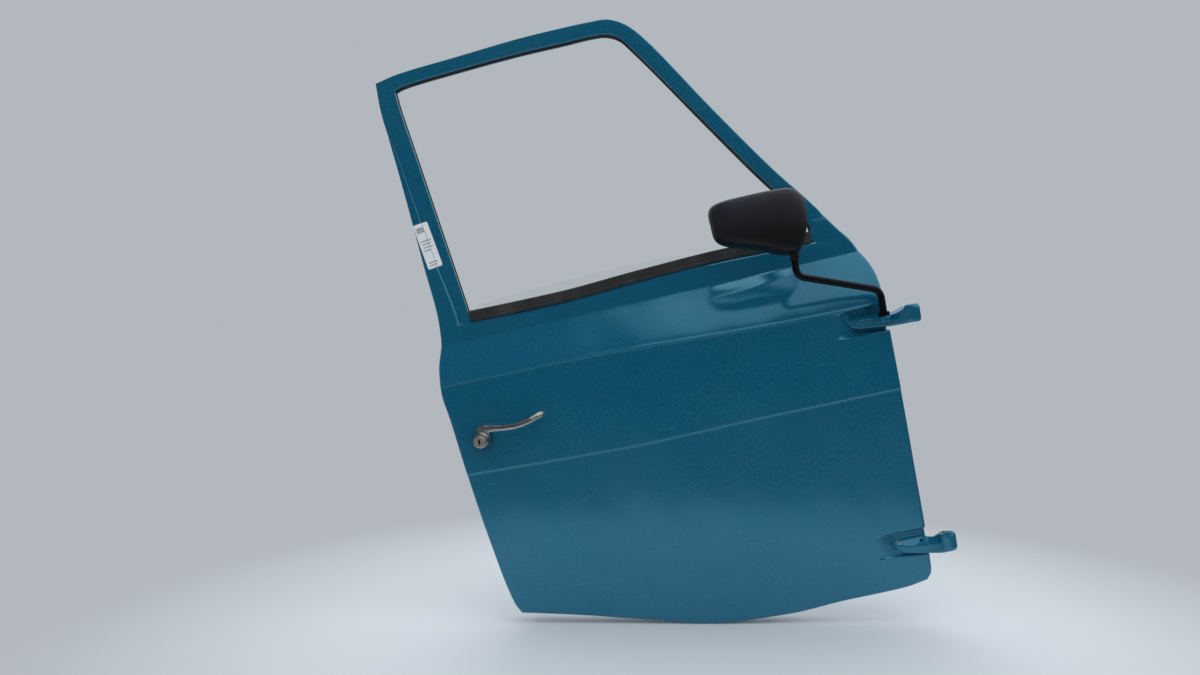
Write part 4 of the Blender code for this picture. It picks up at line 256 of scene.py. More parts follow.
def section_of(along):
    """Z and height of the pressing's section at a share along the door, from sill to belt."""
    z, height = [], []

    def add(line_z, line_height):
        z.append(float(line_z))
        height.append(float(line_height))

    sill, ridge, bead = (DOOR_HEIGHT * line(along) for line in (sill_line, ridge_line, bead_line))
    lower, upper, belt = (DOOR_HEIGHT * line(along)
                          for line in (lower_crease_line, upper_crease_line, belt_line))
    crest = RIDGE_HEIGHT + RIDGE_STEP
    for share in np.linspace(0, 1, 25):
        bulge = SILL_HEIGHT + (RIDGE_HEIGHT - SILL_HEIGHT) * (1 - (1 - share) ** 2.4)
        add(sill + (ridge - sill) * share, bulge)
    for share in np.linspace(0, 1, 17):
        add(ridge + RIDGE_RISE + (bead - ridge - RIDGE_RISE) * share,
            crest - (crest - BEAD_HEIGHT) * share ** 2)
    crease = 0.003 + 0.006 * 4 * along * (1 - along)
    power = 1.2 + 0.6 * max(0.0, along - 0.4)
    for share in np.linspace(0, 1, 17)[1:]:
        add(bead + (lower - bead) * share, BEAD_HEIGHT + (crease - BEAD_HEIGHT) * share ** power)
    add(max(upper, lower + 0.002), 0)
    add(belt, 0)
    add(belt + SKIN_UPSTAND, 0)
    return np.array(z), np.array(height)


def soft_height(z, section, radius=0.0010):
    """Height of a section at z, its corners softened over a radius."""
    total = np.zeros_like(np.asarray(z, float))
    weights = ((-1, 1), (-0.5, 2), (0, 3), (0.5, 2), (1, 1))
    for shift, weight in weights:
        total = total + weight * np.interp(np.asarray(z) + shift * radius, section[0], section[1])
    return total / sum(weight for _, weight in weights)


mid = section_of(0.5)
print("points in a section:", len(mid[0]), "deepest", round(mid[1].max(), 4))

# %% [markdown]
# ## Hinge pockets and waves
#
# Where the hinge straps lie, the skin is pushed in to a flat floor that opens at the front edge. The side
# walls are steep and the far end is a long ramp that fades into the panel. A used door is never perfect, so
# three sets of broad waves, each under half a millimetre deep, go on top: they bend the reflections.

# %% Pockets and waves
POCKETS = (
    # centre z; depth below it and above it at the door's edge; the same at the far end
    (HINGE_SPAN, 0.0205, 0.0225, 0.0235, 0.0125),
    (0.0, 0.0205, 0.0195, 0.0190, 0.0165),
)
POCKET_REACH, POCKET_RAMP, POCKET_WALL = 0.050, 0.046, 0.0042


def pocket_share(setback, z):
    """1 on a pocket's floor and 0 outside its walls: steep walls at the sides, a long ramp at the far end."""
    inside = 0.0
    for centre, below, above, far_below, far_above in POCKETS:
        way = min(1.0, max(0.0, setback / (POCKET_REACH + POCKET_RAMP)))
        low, high = below + (far_below - below) * way, above + (far_above - above) * way
        past = max(centre - low - z, z - centre - high) / POCKET_WALL
        side = min(1.0, max(0.0, 1 - past))
        ramp_share = min(1.0, max(0.0, 1 - (setback - POCKET_REACH) / POCKET_RAMP))
        ramp_share = ramp_share * ramp_share * (3 - 2 * ramp_share)
        inside = max(inside, side * side * (3 - 2 * side) * ramp_share)
    return inside


def waves(x, z):
    """Broad, shallow unevenness of a hand-filled and stamped panel."""
    return (0.00040 * math.sin(21 * x + 9 * z + 0.6) * math.sin(14 * z + 1.1)
            + 0.00028 * math.sin(37 * x - 16 * z) + 0.00014 * math.sin(63 * x + 41 * z + 2.0))


print("on the upper floor:", pocket_share(0.03, HINGE_SPAN))

# %% [markdown]
# ## The panel's grid
#
# Rows follow the door's lines and columns follow its edges, and both crowd together where the shape turns
# fast: at the rolled edges, the ridge and the pockets.

# %% Rows and columns
ROLL, ROLL_DROP = 0.0035, 0.0016


def between(low, high, shares):
    return [(low, high, float(share)) for share in shares]


panel_rows = (
    between(sill_line, ridge_line, (0, 0.003, 0.006, 0.011))
    + between(sill_line, ridge_line, np.linspace(0.03, 0.13, 5))
    + between(sill_line, ridge_line, np.linspace(0.137, 0.345, 58))
    + between(sill_line, ridge_line, np.linspace(0.37, 0.985, 20))
    + between(ridge_line, bead_line, np.linspace(-0.008, 0.032, 9))
    + between(ridge_line, bead_line, np.linspace(0.06, 0.48, 9))
    + between(ridge_line, bead_line, np.linspace(0.50, 0.985, 58))
    + between(bead_line, lower_crease_line, np.linspace(-0.03, 0.075, 9))
    + between(bead_line, lower_crease_line, np.linspace(0.1, 0.96, 34))
    + between(lower_crease_line, upper_crease_line, np.linspace(0, 1, 7))
    + between(upper_crease_line, belt_line, (0.04, 0.08, 0.15, 0.3, 0.5, 0.7, 0.85, 1.0))
)
REAR_COLUMNS = [0, 0.0006, 0.0014, 0.0024, 0.0036, 0.006, 0.010, 0.016, 0.022, 0.029, LAP_REAR]
FRONT_COLUMNS = [0.112, 0.107, 0.102, 0.098, 0.094, 0.090, 0.086, 0.082, 0.078, 0.074, 0.070, 0.066, 0.062,
                 0.058, 0.054, LAP_FRONT, 0.043, 0.038, 0.033, 0.028, 0.023, 0.018, 0.014, 0.010, 0.006,
                 0.0036, 0.0024, 0.0014, 0.0006, 0]
MIDDLE_COLUMNS = 46
print("rows", len(panel_rows), "columns", len(REAR_COLUMNS) + MIDDLE_COLUMNS + len(FRONT_COLUMNS))

# %% [markdown]
# The points are worked out one row at a time. A row knows its own rear and front ends, so its columns spread
# between them. Rows can cross where two lines meet, so each point keeps its Z at least a hair above the one
# below it.

# %% Points of the panel
CALM_REACH, HAIR = 0.03, 0.00005


def row_columns(rear, front):
    back = [rear + step for step in REAR_COLUMNS]
    fore = [front - step for step in FRONT_COLUMNS]
    gap = fore[0] - back[-1]
    inner = [back[-1] + gap * (step + 1) / (MIDDLE_COLUMNS + 1) for step in range(MIDDLE_COLUMNS)]
    return back + inner + fore


SECTIONS = [section_of(share) for share in np.linspace(0, 1, 41)]


def section_height(z, along):
    """Height at a place, between the two nearest of the ready sections."""
    place = min(max(along, 0.0), 1.0) * (len(SECTIONS) - 1)
    number = min(int(place), len(SECTIONS) - 2)
    share = place - number
    low, high = SECTIONS[number], SECTIONS[number + 1]
    mixed = (low[0] * (1 - share) + high[0] * share, low[1] * (1 - share) + high[1] * share)
    return float(soft_height(z, mixed))


def skin_height(x, z, along, setback_rear, setback_front, above_sill):
    height = section_height(z, along)
    bead = DOOR_HEIGHT * float(bead_line(min(max(along, 0.0), 1.0)))
    height += BEAD_RAISE * math.exp(-((z - bead) / BEAD_WIDTH) ** 2)
    calm = min(1.0, setback_rear / CALM_REACH, setback_front / CALM_REACH)
    height += waves(x, z) * calm
    share = pocket_share(setback_front, z)
    height = height * (1 - share) + POCKET_FLOOR * share
    edge = min(setback_rear, setback_front, above_sill)
    if edge < ROLL:
        height -= ROLL_DROP * (1 - edge / ROLL) ** 2
    return height


panel_points, panel_rim = [], []
for low, high, share in panel_rows:
    ends = [DOOR_HEIGHT * float(low(side) * (1 - share) + high(side) * share) for side in (0, 1)]
    rear, front = float(rear_edge(ends[0])), float(front_edge(ends[1]))
    for x in row_columns(rear, front):
        along = (x - rear) / (front - rear)
        z = DOOR_HEIGHT * float(low(along) * (1 - share) + high(along) * share)
        sill = DOOR_HEIGHT * float(sill_line(along))
        gaps = (x - rear, front - x, max(z - sill, 0.0))
        panel_points.append((x, out(skin_height(x, z, along, *gaps)), z))
        panel_rim.append(min(gaps))
columns = len(REAR_COLUMNS) + MIDDLE_COLUMNS + len(FRONT_COLUMNS)
panel_table = np.array(panel_points).reshape(len(panel_rows), columns, 3)
climb = np.arange(len(panel_rows))[:, None] * HAIR
panel_table[:, :, 2] = np.maximum.accumulate(panel_table[:, :, 2] - climb, axis=0) + climb
print("points", len(panel_points))

# %% [markdown]
# ## Tongue and ear
#
# Behind the window the skin runs up the pillar in a long tongue, lapped over the frame. At the front an ear
# fills the corner under the front pillar. Both start on the panel's last row, so that the metal is one piece.

# %% Tongue and ear points
tongue_width = curve_through(((0.513, 0.0355), (0.604, 0.0250), (0.741, 0.0125), (0.824, 0.0065),
                              (0.851, 0.0030)))
ear_width = curve_through(((0.568, 0.0480), (0.580, 0.0330), (0.597, 0.0250)))
TONGUE_TOP, EAR_TOP = 0.851, 0.597
TONGUE_ROWS, EAR_ROWS = 40, 14
# The ear's upper part sinks from this share of its rows on, over the rest of them
EAR_SINK, SINK_FROM, SINK_SPAN = 0.0034, 0.55, 0.45


def lap_points(first_row, column_steps, top, edge, width, side, count):
    """Rows of a strip that follows an edge of the door upwards, from its first row of points."""
    rows = []
    start_z = [point[2] for point in first_row]
    for step in range(1, count + 1):
        share = step / count
        row = []
        for number, inset in enumerate(column_steps):
            z = start_z[number] + (top * DOOR_HEIGHT - start_z[number]) * share
            reach = float(width(z / DOOR_HEIGHT)) * inset / max(column_steps)
            row.append((float(edge(z)) + side * reach, out(0), z))
        rows.append(row)
    return rows


def roll_edges(rows, column_steps, widths):
    """Rolls a strip's free upright edge in, by the distance of each column from it."""
    rolled = []
    for row, width in zip(rows, widths):
        new_row = []
        for (x, y, z), inset in zip(row, column_steps):
            near = inset / max(column_steps) * width
            fall = ROLL_DROP * max(0.0, 1 - near / ROLL) ** 2
            new_row.append((x, y + fall, z))
        rolled.append(new_row)
    return rolled


top_row = panel_table[-1]
tongue_first = top_row[:len(REAR_COLUMNS)]
ear_steps = [step for step in FRONT_COLUMNS if step <= LAP_FRONT]
ear_first = top_row[-len(ear_steps):]
tongue = lap_points(tongue_first, REAR_COLUMNS, TONGUE_TOP, rear_edge, tongue_width, 1, TONGUE_ROWS)
tongue = roll_edges(tongue, REAR_COLUMNS, [float(tongue_width(row[0][2] / DOOR_HEIGHT)) for row in tongue])
ear = lap_points(ear_first, ear_steps, EAR_TOP, front_edge, ear_width, -1, EAR_ROWS)
ear = roll_edges(ear, ear_steps, [float(ear_width(row[0][2] / DOOR_HEIGHT)) for row in ear])
for number, row in enumerate(ear):
    sink = EAR_SINK * max(0.0, (number + 1) / len(ear) - SINK_FROM) ** 2 / SINK_SPAN ** 2
    ear[number] = [(x, y + sink, z) for x, y, z in row]
print("tongue rows", len(tongue), "ear rows", len(ear))

# %% [markdown]
# The three grids become one mesh. A hem is then folded inwards all round the free edge, and each point gets a
# number that says how near the rim it is: the paint uses it for the pale edge, which is partly wear and
# partly a painted highlight.

# %% Build the outer panel
RIM_REACH, HEM_DEPTH = 0.004, 0.0035


def outer_panel_mesh():
    points = [tuple(p) for p in panel_table.reshape(-1, 3)]
    faces = grid_faces(len(panel_rows), columns)
    top = (len(panel_rows) - 1) * columns
    rim = [min(value / RIM_REACH, 1.0) for value in panel_rim]

    def add_strip(rows, first_indices, steps):
        before = list(first_indices)
        for row in rows:
            start = len(points)
            points.extend(row)
            width = abs(row[-1][0] - row[0][0])
            rim.extend(min(step / max(steps) * width / RIM_REACH, 1.0) for step in steps)
            now = list(range(start, len(points)))
            for column in range(len(now) - 1):
                faces.append((before[column], before[column + 1], now[column + 1], now[column]))
            before = now

    lap_start = list(range(top, top + len(REAR_COLUMNS)))
    ear_start = list(range(top + columns - len(ear_steps), top + columns))
    tongue_from = len(points)
    add_strip(tongue, lap_start, REAR_COLUMNS)
    ear_from = len(points)
    add_strip(ear, ear_start, ear_steps)
    loop = [tongue_from + row * len(REAR_COLUMNS) for row in reversed(range(len(tongue)))]
    loop += [row * columns for row in reversed(range(len(panel_rows)))]
    loop += list(range(1, columns)) + [row * columns + columns - 1 for row in range(1, len(panel_rows))]
    loop += [ear_from + row * len(ear_steps) + len(ear_steps) - 1 for row in range(len(ear))]
    hem = {}
    for number in loop:
        if number not in hem:
            x, y, z = points[number]
            hem[number] = len(points)
            points.append((x, y + HEM_DEPTH, z))
            rim.append(0.0)
    for first, second in zip(loop, loop[1:]):
        faces.append((hem[first], hem[second], second, first))
    return points, faces, rim


panel_mesh_points, panel_faces, rim_values = outer_panel_mesh()
outer_panel = add_piece("outer_panel_skin", panel_mesh_points, panel_faces, "door", ("outer_panel",))
rim_attribute = outer_panel.data.attributes.new("rim", "FLOAT", "POINT")
rim_attribute.data.foreach_set("value", [1 - value for value in rim_values])
shape = bmesh.new()
shape.from_mesh(outer_panel.data)
bmesh.ops.recalc_face_normals(shape, faces=shape.faces)
if sum(face.normal.y * face.calc_area() for face in shape.faces) > 0:
    bmesh.ops.reverse_faces(shape, faces=shape.faces)
shape.to_mesh(outer_panel.data)
shape.free()
thicken(outer_panel, SHEET)
smooth(outer_panel, 50)
print("outer panel faces", len(outer_panel.data.polygons))

# %% [markdown]
# ## Hole in the panel
#
# The handle's spindle passes through the skin. Its hole is a short cylinder subtracted with a Boolean
# modifier, and the cylinder itself is hidden.

# %% Cutters
cutter_collection = bpy.data.collections.new("cutters")
bpy.context.scene.collection.children.link(cutter_collection)


def cylinder_mesh(start, end, radius, segments=32):
    """A closed cylinder between two points, as a bmesh."""
    body = bmesh.new()
    axis = Vector(end) - Vector(start)
    turn = Vector((0, 0, 1)).rotation_difference(axis).to_matrix().to_4x4()
    to_middle = Matrix.Translation((Vector(start) + Vector(end)) / 2)
    bmesh.ops.create_cone(body, cap_ends=True, segments=segments, radius1=radius, radius2=radius,
                          depth=axis.length, matrix=to_middle @ turn)
    return body


def cut_with(piece, body, name):
    mesh = bpy.data.meshes.new(name)
    body.to_mesh(mesh)
    body.free()
    cutter = bpy.data.objects.new(name, mesh)
    cutter_collection.objects.link(cutter)
    cutter.hide_render = True
    cutter.hide_viewport = True
    cutting = piece.modifiers.new("Cut " + name, "BOOLEAN")
    cutting.operation = "DIFFERENCE"
    cutting.object = cutter
    cutting.solver = "EXACT"


handle_x, handle_z = at(0.8855, 0.298)
spindle_hole = cylinder_mesh((handle_x, out(0.05), handle_z), (handle_x, out(0.03), handle_z), 0.008)
cut_with(outer_panel, spindle_hole, "spindle_hole")
print("handle at", round(handle_x, 4), round(handle_z, 4))

# %% [markdown]
# ## Window frame
#
# The frame is a rolled steel section bent round the opening. Its line is known at a row of stations, each
# with a point on the opening and one on the outside. Between them the frame is bent in a smooth curve, so new
# stations are set along a spline through the old ones, except at the one mitred corner.

# %% Stations round the opening
RUN_FOOT, RUN_HEAD = at(0.8777, 0.504), at(0.9588, 0.9158)
FRONT_RUN = at(0.1613, 0.591)
LIFT = (RUN_HEAD - RUN_FOOT).normalized()
LEVEL = Vector((-LIFT.y, LIFT.x))
LEG, FRONT_LEG_FOOT = 0.029, 0.527


def run_at(z, front=False):
    """X of the glass channel at a height z, behind or before the glass."""
    foot = FRONT_RUN if front else RUN_FOOT
    return foot.x + (z - foot.y) * LIFT.x / LIFT.y


def leg_stations(heights, widths, front):
    stations = []
    for z, width in zip(heights, widths):
        inner = Vector((run_at(z, front), z))
        stations.append((inner, inner + LEVEL * width * (-1 if front else 1)))
    return stations


CORNERS = (
    ((0.9600, 0.9335), (0.9970, 0.9505)), ((0.9440, 0.9385), (0.9500, 0.9610)),
    ((0.8160, 0.9535), (0.8190, 0.9760)), ((0.6920, 0.9650), (0.6940, 0.9900)),
    ((0.6040, 0.9705), (0.6060, 0.9965)), ((0.5380, 0.9750), (0.5380, 1.0000)),
    ((0.5115, 0.9740), (0.5035, 0.9995)), ((0.4865, 0.9645), (0.4715, 0.9870)),
    ((0.4610, 0.9385), (0.4390, 0.9600)), ((0.3400, 0.7940), (0.3160, 0.8090)),
    ((0.2370, 0.6725), (0.2140, 0.6885)), ((0.1740, 0.6060), (0.1500, 0.6210)),
)
rear_leg = leg_stations([0.485] + [share * DOOR_HEIGHT for share in (0.505, 0.605, 0.742, 0.824, 0.903)],
                        [LEG, LEG, LEG * 1.03, LEG * 1.19, LEG * 1.24, LEG * 1.19], False)
head = [(at(*inner), at(*outer)) for inner, outer in CORNERS]
front_leg = leg_stations([share * DOOR_HEIGHT for share in (0.588, 0.553, FRONT_LEG_FOOT)], [LEG] * 3, True)
raw_stations = rear_leg + head + front_leg
print("stations measured", len(raw_stations))

# %% [markdown]
# A Catmull-Rom spline needs only four neighbouring points for each piece of curve, and passes through all of
# them. It is used on the inner and the outer point of the stations alike.

# %% Finer stations


def spline(points, steps):
    """Points on a Catmull-Rom curve through 2-D points, by the distance between them."""
    padded = [points[0] * 2 - points[1]] + list(points) + [points[-1] * 2 - points[-2]]
    curve = []
    for number in range(1, len(padded) - 2):
        p0, p1, p2, p3 = padded[number - 1:number + 3]
        t0 = 0.0
        t1 = t0 + max((p1 - p0).length, 1e-6) ** 0.5
        t2 = t1 + max((p2 - p1).length, 1e-6) ** 0.5
        t3 = t2 + max((p3 - p2).length, 1e-6) ** 0.5
        for step in range(steps):
            t = t1 + (t2 - t1) * step / steps
            a1 = p0 * (t1 - t) / (t1 - t0) + p1 * (t - t0) / (t1 - t0)
            a2 = p1 * (t2 - t) / (t2 - t1) + p2 * (t - t1) / (t2 - t1)
            a3 = p2 * (t3 - t) / (t3 - t2) + p3 * (t - t2) / (t3 - t2)
            b1 = a1 * (t2 - t) / (t2 - t0) + a2 * (t - t0) / (t2 - t0)
            b2 = a2 * (t3 - t) / (t3 - t1) + a3 * (t - t1) / (t3 - t1)
            curve.append(b1 * (t2 - t) / (t2 - t1) + b2 * (t - t1) / (t2 - t1))
    curve.append(points[-1])
    return curve


frame_stations = []
for leg in (raw_stations[:len(rear_leg) + 1], raw_stations[len(rear_leg):]):
    inner_line = spline([station[0] for station in leg], 6)
    outer_line = spline([station[1] for station in leg], 6)
    frame_stations += list(zip(inner_line, outer_line))[len(frame_stations) > 0:]
print("stations in use", len(frame_stations))

# %% [markdown]
# The section is drawn once, as distances from the opening and heights, with its corners rounded. It holds the
# rubber run in a groove that opens towards the glass.

# %% Section with rounded corners
GLASS_INSET, RUN_DEPTH, RUN_WIDTH = 0.0145, 0.012, 0.011
FRAME_FACE = -0.0013
FRAME_BACK = FRAME_FACE - 0.028


def rounded(points, radius, steps=4):
    """An open line with its inner corners rounded."""
    line = [Vector(points[0])]
    for before, corner, after in zip(points, points[1:], points[2:]):
        before, corner, after = Vector(before), Vector(corner), Vector(after)
        reach = min(radius, (before - corner).length * 0.45, (after - corner).length * 0.45)
        start = corner + (before - corner).normalized() * reach
        end = corner + (after - corner).normalized() * reach
        for step in range(steps + 1):
            share = step / steps
            line.append(start * (1 - share) ** 2 + corner * 2 * share * (1 - share) + end * share ** 2)
    line.append(Vector(points[-1]))
    return line


def frame_section(width):
    groove_out, groove_in = -(GLASS_INSET - RUN_WIDTH / 2), -(GLASS_INSET + RUN_WIDTH / 2)
    return rounded([(RUN_DEPTH, groove_out - 0.0015), (RUN_DEPTH, groove_in), (0, groove_in),
                    (0, FRAME_BACK), (width, FRAME_BACK), (width, FRAME_FACE), (0, FRAME_FACE),
                    (0, groove_out), (RUN_DEPTH - 0.0015, groove_out)], 0.0022)


def loft(name, stations, section, body, nodes, closed=False):
    """A sheet or a solid through stations of (opening point, outer point)."""
    points = []
    for inner, outer in stations:
        direction = (outer - inner).normalized()
        for distance, height in section((outer - inner).length):
            place = inner + direction * distance
            points.append((place.x, out(height), place.y))
    count = len(points) // len(stations)
    faces = grid_faces(len(stations), count)
    if closed:
        for row in range(len(stations) - 1):
            start, after = row * count, (row + 1) * count
            faces.append((start + count - 1, start, after, after + count - 1))
        faces.append(tuple(reversed(range(count))))
        faces.append(tuple(range(len(points) - count, len(points))))
    return add_piece(name, points, faces, body, nodes)


PROBE_REACH = 0.0004


def face_outwards(piece, probe):
    """Turns a sheet's faces so that those near height probe look outboard."""
    shape = bmesh.new()
    shape.from_mesh(piece.data)
    bmesh.ops.recalc_face_normals(shape, faces=shape.faces)
    near = [face for face in shape.faces if abs(face.calc_center_median().y - out(probe)) < PROBE_REACH]
    if sum(face.normal.y * face.calc_area() for face in near) > 0:
        bmesh.ops.reverse_faces(shape, faces=shape.faces)
    shape.to_mesh(piece.data)
    shape.free()


window_frame = loft("window_frame_rail", frame_stations, frame_section, "door", ("window_frame",))
face_outwards(window_frame, FRAME_FACE)
thicken(window_frame, 0.0012)
smooth(window_frame, 30)
print("frame faces", len(window_frame.data.polygons))

# %% [markdown]
# ## Rubber run and belt seals
#
# The run is a U of rubber round the opening, from the foot of one guide rail to the foot of the other. The
# belt seal clips over the panel's edge and shows three fine ribs outside.

# %% Rubber round the glass
REAR_RAIL_LENGTH, FRONT_RAIL_LENGTH = 0.380, 0.350
REAR_LEG_DROP, RAIL_GAP = 0.024, 0.0024


def rail_end(front, length):
    leg_foot = FRONT_LEG_FOOT * DOOR_HEIGHT if front else RUN_FOOT.y - REAR_LEG_DROP
    z = leg_foot - RAIL_GAP - length
    inner = Vector((run_at(z, front), z))
    return (inner, inner + LEVEL * 0.02 * (-1 if front else 1))


def run_section(width):
    half, base = RUN_WIDTH / 2 - 0.0003, RUN_DEPTH - 0.0003
    outer_side, inner_side = -(GLASS_INSET - half), -(GLASS_INSET + half)
    return [Vector(p) for p in (
        (base, outer_side), (base, inner_side), (0.0, inner_side), (-0.0010, inner_side + 0.0006),
        (-0.0008, inner_side + 0.0022), (base - 0.002, inner_side + 0.002),
        (base - 0.002, outer_side - 0.002), (-0.0008, outer_side - 0.0022), (-0.0010, outer_side - 0.0006),
        (0.0, outer_side))]


run_stations = [rail_end(False, REAR_RAIL_LENGTH)] + frame_stations + [rail_end(True, FRONT_RAIL_LENGTH)]
glass_run = loft("glass_run_rubber", run_stations, run_section, "door", ("glass_run_channel",),
                 closed=True)
smooth(glass_run, 35)
print("run faces", len(glass_run.data.polygons))

# %% Belt seals
SEAL_HEIGHT, SEAL_BODY, SEAL_RIB = 0.020, 0.0030, 0.0014


def belt_z(x):
    rear = float(rear_edge(DOOR_HEIGHT * 0.501))
    front = float(front_edge(DOOR_HEIGHT * 0.556))
    return DOOR_HEIGHT * float(belt_line((x - rear) / (front - rear)))


def belt_stations(margin, count=60):
    start, end = RUN_FOOT.x + margin, FRONT_RUN.x - margin
    stations = []
    for step in range(count):
        x = start + (end - start) * step / (count - 1)
        foot = Vector((x, belt_z(x)))
        stations.append((foot, foot + Vector((0, 0.02))))
    return stations


def outer_seal_section(width):
    lip = -(GLASS_INSET - 0.0023)
    top = SKIN_UPSTAND + 0.0015
    line = [(0, 0.0003), (0, SEAL_BODY - 0.0004)]
    pitch = SEAL_HEIGHT / 3
    for rib in range(3):
        low = pitch * rib
        line += [(low + pitch * 0.18, SEAL_BODY), (low + pitch * 0.50, SEAL_BODY + SEAL_RIB * 0.7),
                 (low + pitch * 0.70, SEAL_BODY + SEAL_RIB), (low + pitch * 0.88, SEAL_BODY + SEAL_RIB * 0.6),
                 (low + pitch * 0.97, SEAL_BODY - 0.0002)]
    line += [(SEAL_HEIGHT, SEAL_BODY - 0.001), (SEAL_HEIGHT + 0.0002, -0.001), (SEAL_HEIGHT - 0.0012, -0.004),
             (top + 0.004, lip), (top + 0.002, lip), (top + 0.002, -0.004), (0.004, -0.004),
             (0.004, -(SHEET + 0.0003)), (top, -(SHEET + 0.0003)), (top, 0.0003)]
    return [Vector(point) for point in line]


outer_seal = loft("belt_seal_ribbed", belt_stations(0.0006), outer_seal_section, "door",
                  ("belt_seal_outer",), closed=True)
smooth(outer_seal, 50)


def inner_seal_section(width):
    back = FRAME_BACK - 0.0003
    nose = back + 0.008
    return [Vector(p) for p in ((0.0113, back), (SEAL_HEIGHT, back), (SEAL_HEIGHT, nose - 0.0014),
                                (SEAL_HEIGHT - 0.002, -(GLASS_INSET + 0.0023)),
                                (SEAL_HEIGHT - 0.004, -(GLASS_INSET + 0.0023)), (0.0113, nose))]


inner_seal = loft("belt_seal_lip", belt_stations(0.014), inner_seal_section, "door",
                  ("belt_seal_inner",), closed=True)
smooth(inner_seal, 50)
print("seals", len(outer_seal.data.polygons), len(inner_seal.data.polygons))

# %% [markdown]
# ## Cast and forged pieces
#
# The handle and the hinge straps have no sharp seams: one form melts into the next. A quick way to get that
# is to put simple closed bodies through each other, remesh the lot into one skin of small voxels, and smooth
# it. The result is applied, so only the finished mesh stays. The tube and the small rings need no melting.

# %% Melt simple bodies into one


def melt(name, bodies, voxel, smoothing, body, nodes, holes=()):
    """One smooth skin round several closed bodies that pass through each other."""
    mesh = bpy.data.meshes.new(name)
    whole = bmesh.new()
    for part in bodies:
        piece_mesh = bpy.data.meshes.new("part")
        part.to_mesh(piece_mesh)
        part.free()
        whole.from_mesh(piece_mesh)
        bpy.data.meshes.remove(piece_mesh)
    whole.to_mesh(mesh)
    whole.free()
    raw = bpy.data.objects.new(name, mesh)
    door_collection.objects.link(raw)
    remesh = raw.modifiers.new("Skin", "REMESH")
    remesh.mode = "VOXEL"
    remesh.voxel_size = voxel
    soften = raw.modifiers.new("Soften", "SMOOTH")
    soften.factor = 0.5
    soften.iterations = smoothing
    for number, hole in enumerate(holes):
        cut_with(raw, hole, f"{name}_hole_{number}")
    evaluated = raw.evaluated_get(bpy.context.evaluated_depsgraph_get())
    finished = bpy.data.meshes.new_from_object(evaluated)
    finished.name = name
    raw.modifiers.clear()
    raw.data = finished
    bpy.data.meshes.remove(mesh)
    raw.data.shade_smooth()
    raw.data.set_sharp_from_angle(angle=math.radians(45))
    return dress(raw, body, nodes)


def ring_body(rings):
    """A closed bmesh through rings of 3-D points, each with the same number of points."""
    body = bmesh.new()
    made = [[body.verts.new(point) for point in ring] for ring in rings]
    for first, second in zip(made, made[1:]):
        for step in range(len(first)):
            after = (step + 1) % len(first)
            body.faces.new((first[step], first[after], second[after], second[step]))
    body.faces.new(made[0])
    body.faces.new(list(reversed(made[-1])))
    bmesh.ops.recalc_face_normals(body, faces=body.faces)
    return body


def oval(centre, right, up, wide, tall, count=20, power=2.4):
    """Points of a rounded box round a centre, in the plane of two directions."""
    ring = []
    for step in range(count):
        angle = math.tau * step / count
        c, s = math.cos(angle), math.sin(angle)
        across = math.copysign(abs(c) ** (2 / power), c) * wide
        along = math.copysign(abs(s) ** (2 / power), s) * tall
        ring.append(Vector(centre) + Vector(right) * across + Vector(up) * along)
    return ring


def solid_piece(name, shape, body, nodes=(), degrees=40):
    """A piece from one closed bmesh, shaded smooth below an angle, or flat where that is None."""
    mesh = bpy.data.meshes.new(name)
    shape.to_mesh(mesh)
    shape.free()
    piece = bpy.data.objects.new(name, mesh)
    door_collection.objects.link(piece)
    dress(piece, body, nodes)
    if degrees is not None:
        smooth(piece, degrees)
    return piece


print("helpers for cast pieces ready")

# %% [markdown]
# ## Outer handle
#
# A chromed casting: a boss round the lock, a flat neck that leans out of it, and a slim bar that sweeps
# forwards and dips back to the door at its tip. The bar is a row of ovals along a bent line.

# %% Outer handle
SEAT = 0.0403
HUB_BASE = SEAT + 0.0033
HUB_TOP = HUB_BASE + 0.034
outward = Vector((0, -1, 0))


def disc_rings(x, z, levels, power=2.0, count=28):
    """Rings of a boss standing outwards at x, z: levels are (height, half width, half height, shift up)."""
    rings = []
    for height, wide, tall, shift in levels:
        rings.append(oval((x, out(height), z + shift), (1, 0, 0), (0, 0, 1), wide, tall, count, power))
    return rings


hub = ring_body(disc_rings(handle_x, handle_z, (
    (HUB_BASE, 0.0165, 0.0165, 0.0), (HUB_BASE + 0.004, 0.0155, 0.0155, 0.0),
    (HUB_BASE + 0.016, 0.0140, 0.0140, 0.0), (HUB_TOP - 0.003, 0.0134, 0.0134, 0.0),
    (HUB_TOP, 0.0122, 0.0122, 0.0))))
neck_line = (
    # height over the hub's base, right, up, half width, half height
    (0.0015, 0.001, 0.006, 0.0140, 0.0185), (0.0120, 0.003, 0.008, 0.0130, 0.0180),
    (0.0210, 0.005, 0.011, 0.0118, 0.0155), (0.0285, 0.006, 0.014, 0.0095, 0.0110),
)
neck = ring_body([
    oval((handle_x + right, out(HUB_BASE + rise), handle_z + up), (1, 0, 0), (0, 0, 1), wide, tall, 28, 2.3)
    for rise, right, up, wide, tall in neck_line])
bar_line = (
    # forwards, up, height over the hub's base, half width, half depth
    (-0.002, 0.016, 0.0200, 0.0080, 0.0070), (0.010, 0.0185, 0.0240, 0.0068, 0.0056),
    (0.024, 0.0178, 0.0262, 0.0057, 0.0047), (0.042, 0.0160, 0.0275, 0.0053, 0.0043),
    (0.060, 0.0158, 0.0280, 0.0052, 0.0042), (0.076, 0.0180, 0.0272, 0.0053, 0.0042),
    (0.090, 0.0222, 0.0248, 0.0055, 0.0043), (0.101, 0.0264, 0.0205, 0.0058, 0.0045),
    (0.108, 0.0285, 0.0160, 0.0060, 0.0050), (0.112, 0.0290, 0.0130, 0.0045, 0.0040),
)
bar_rings = []
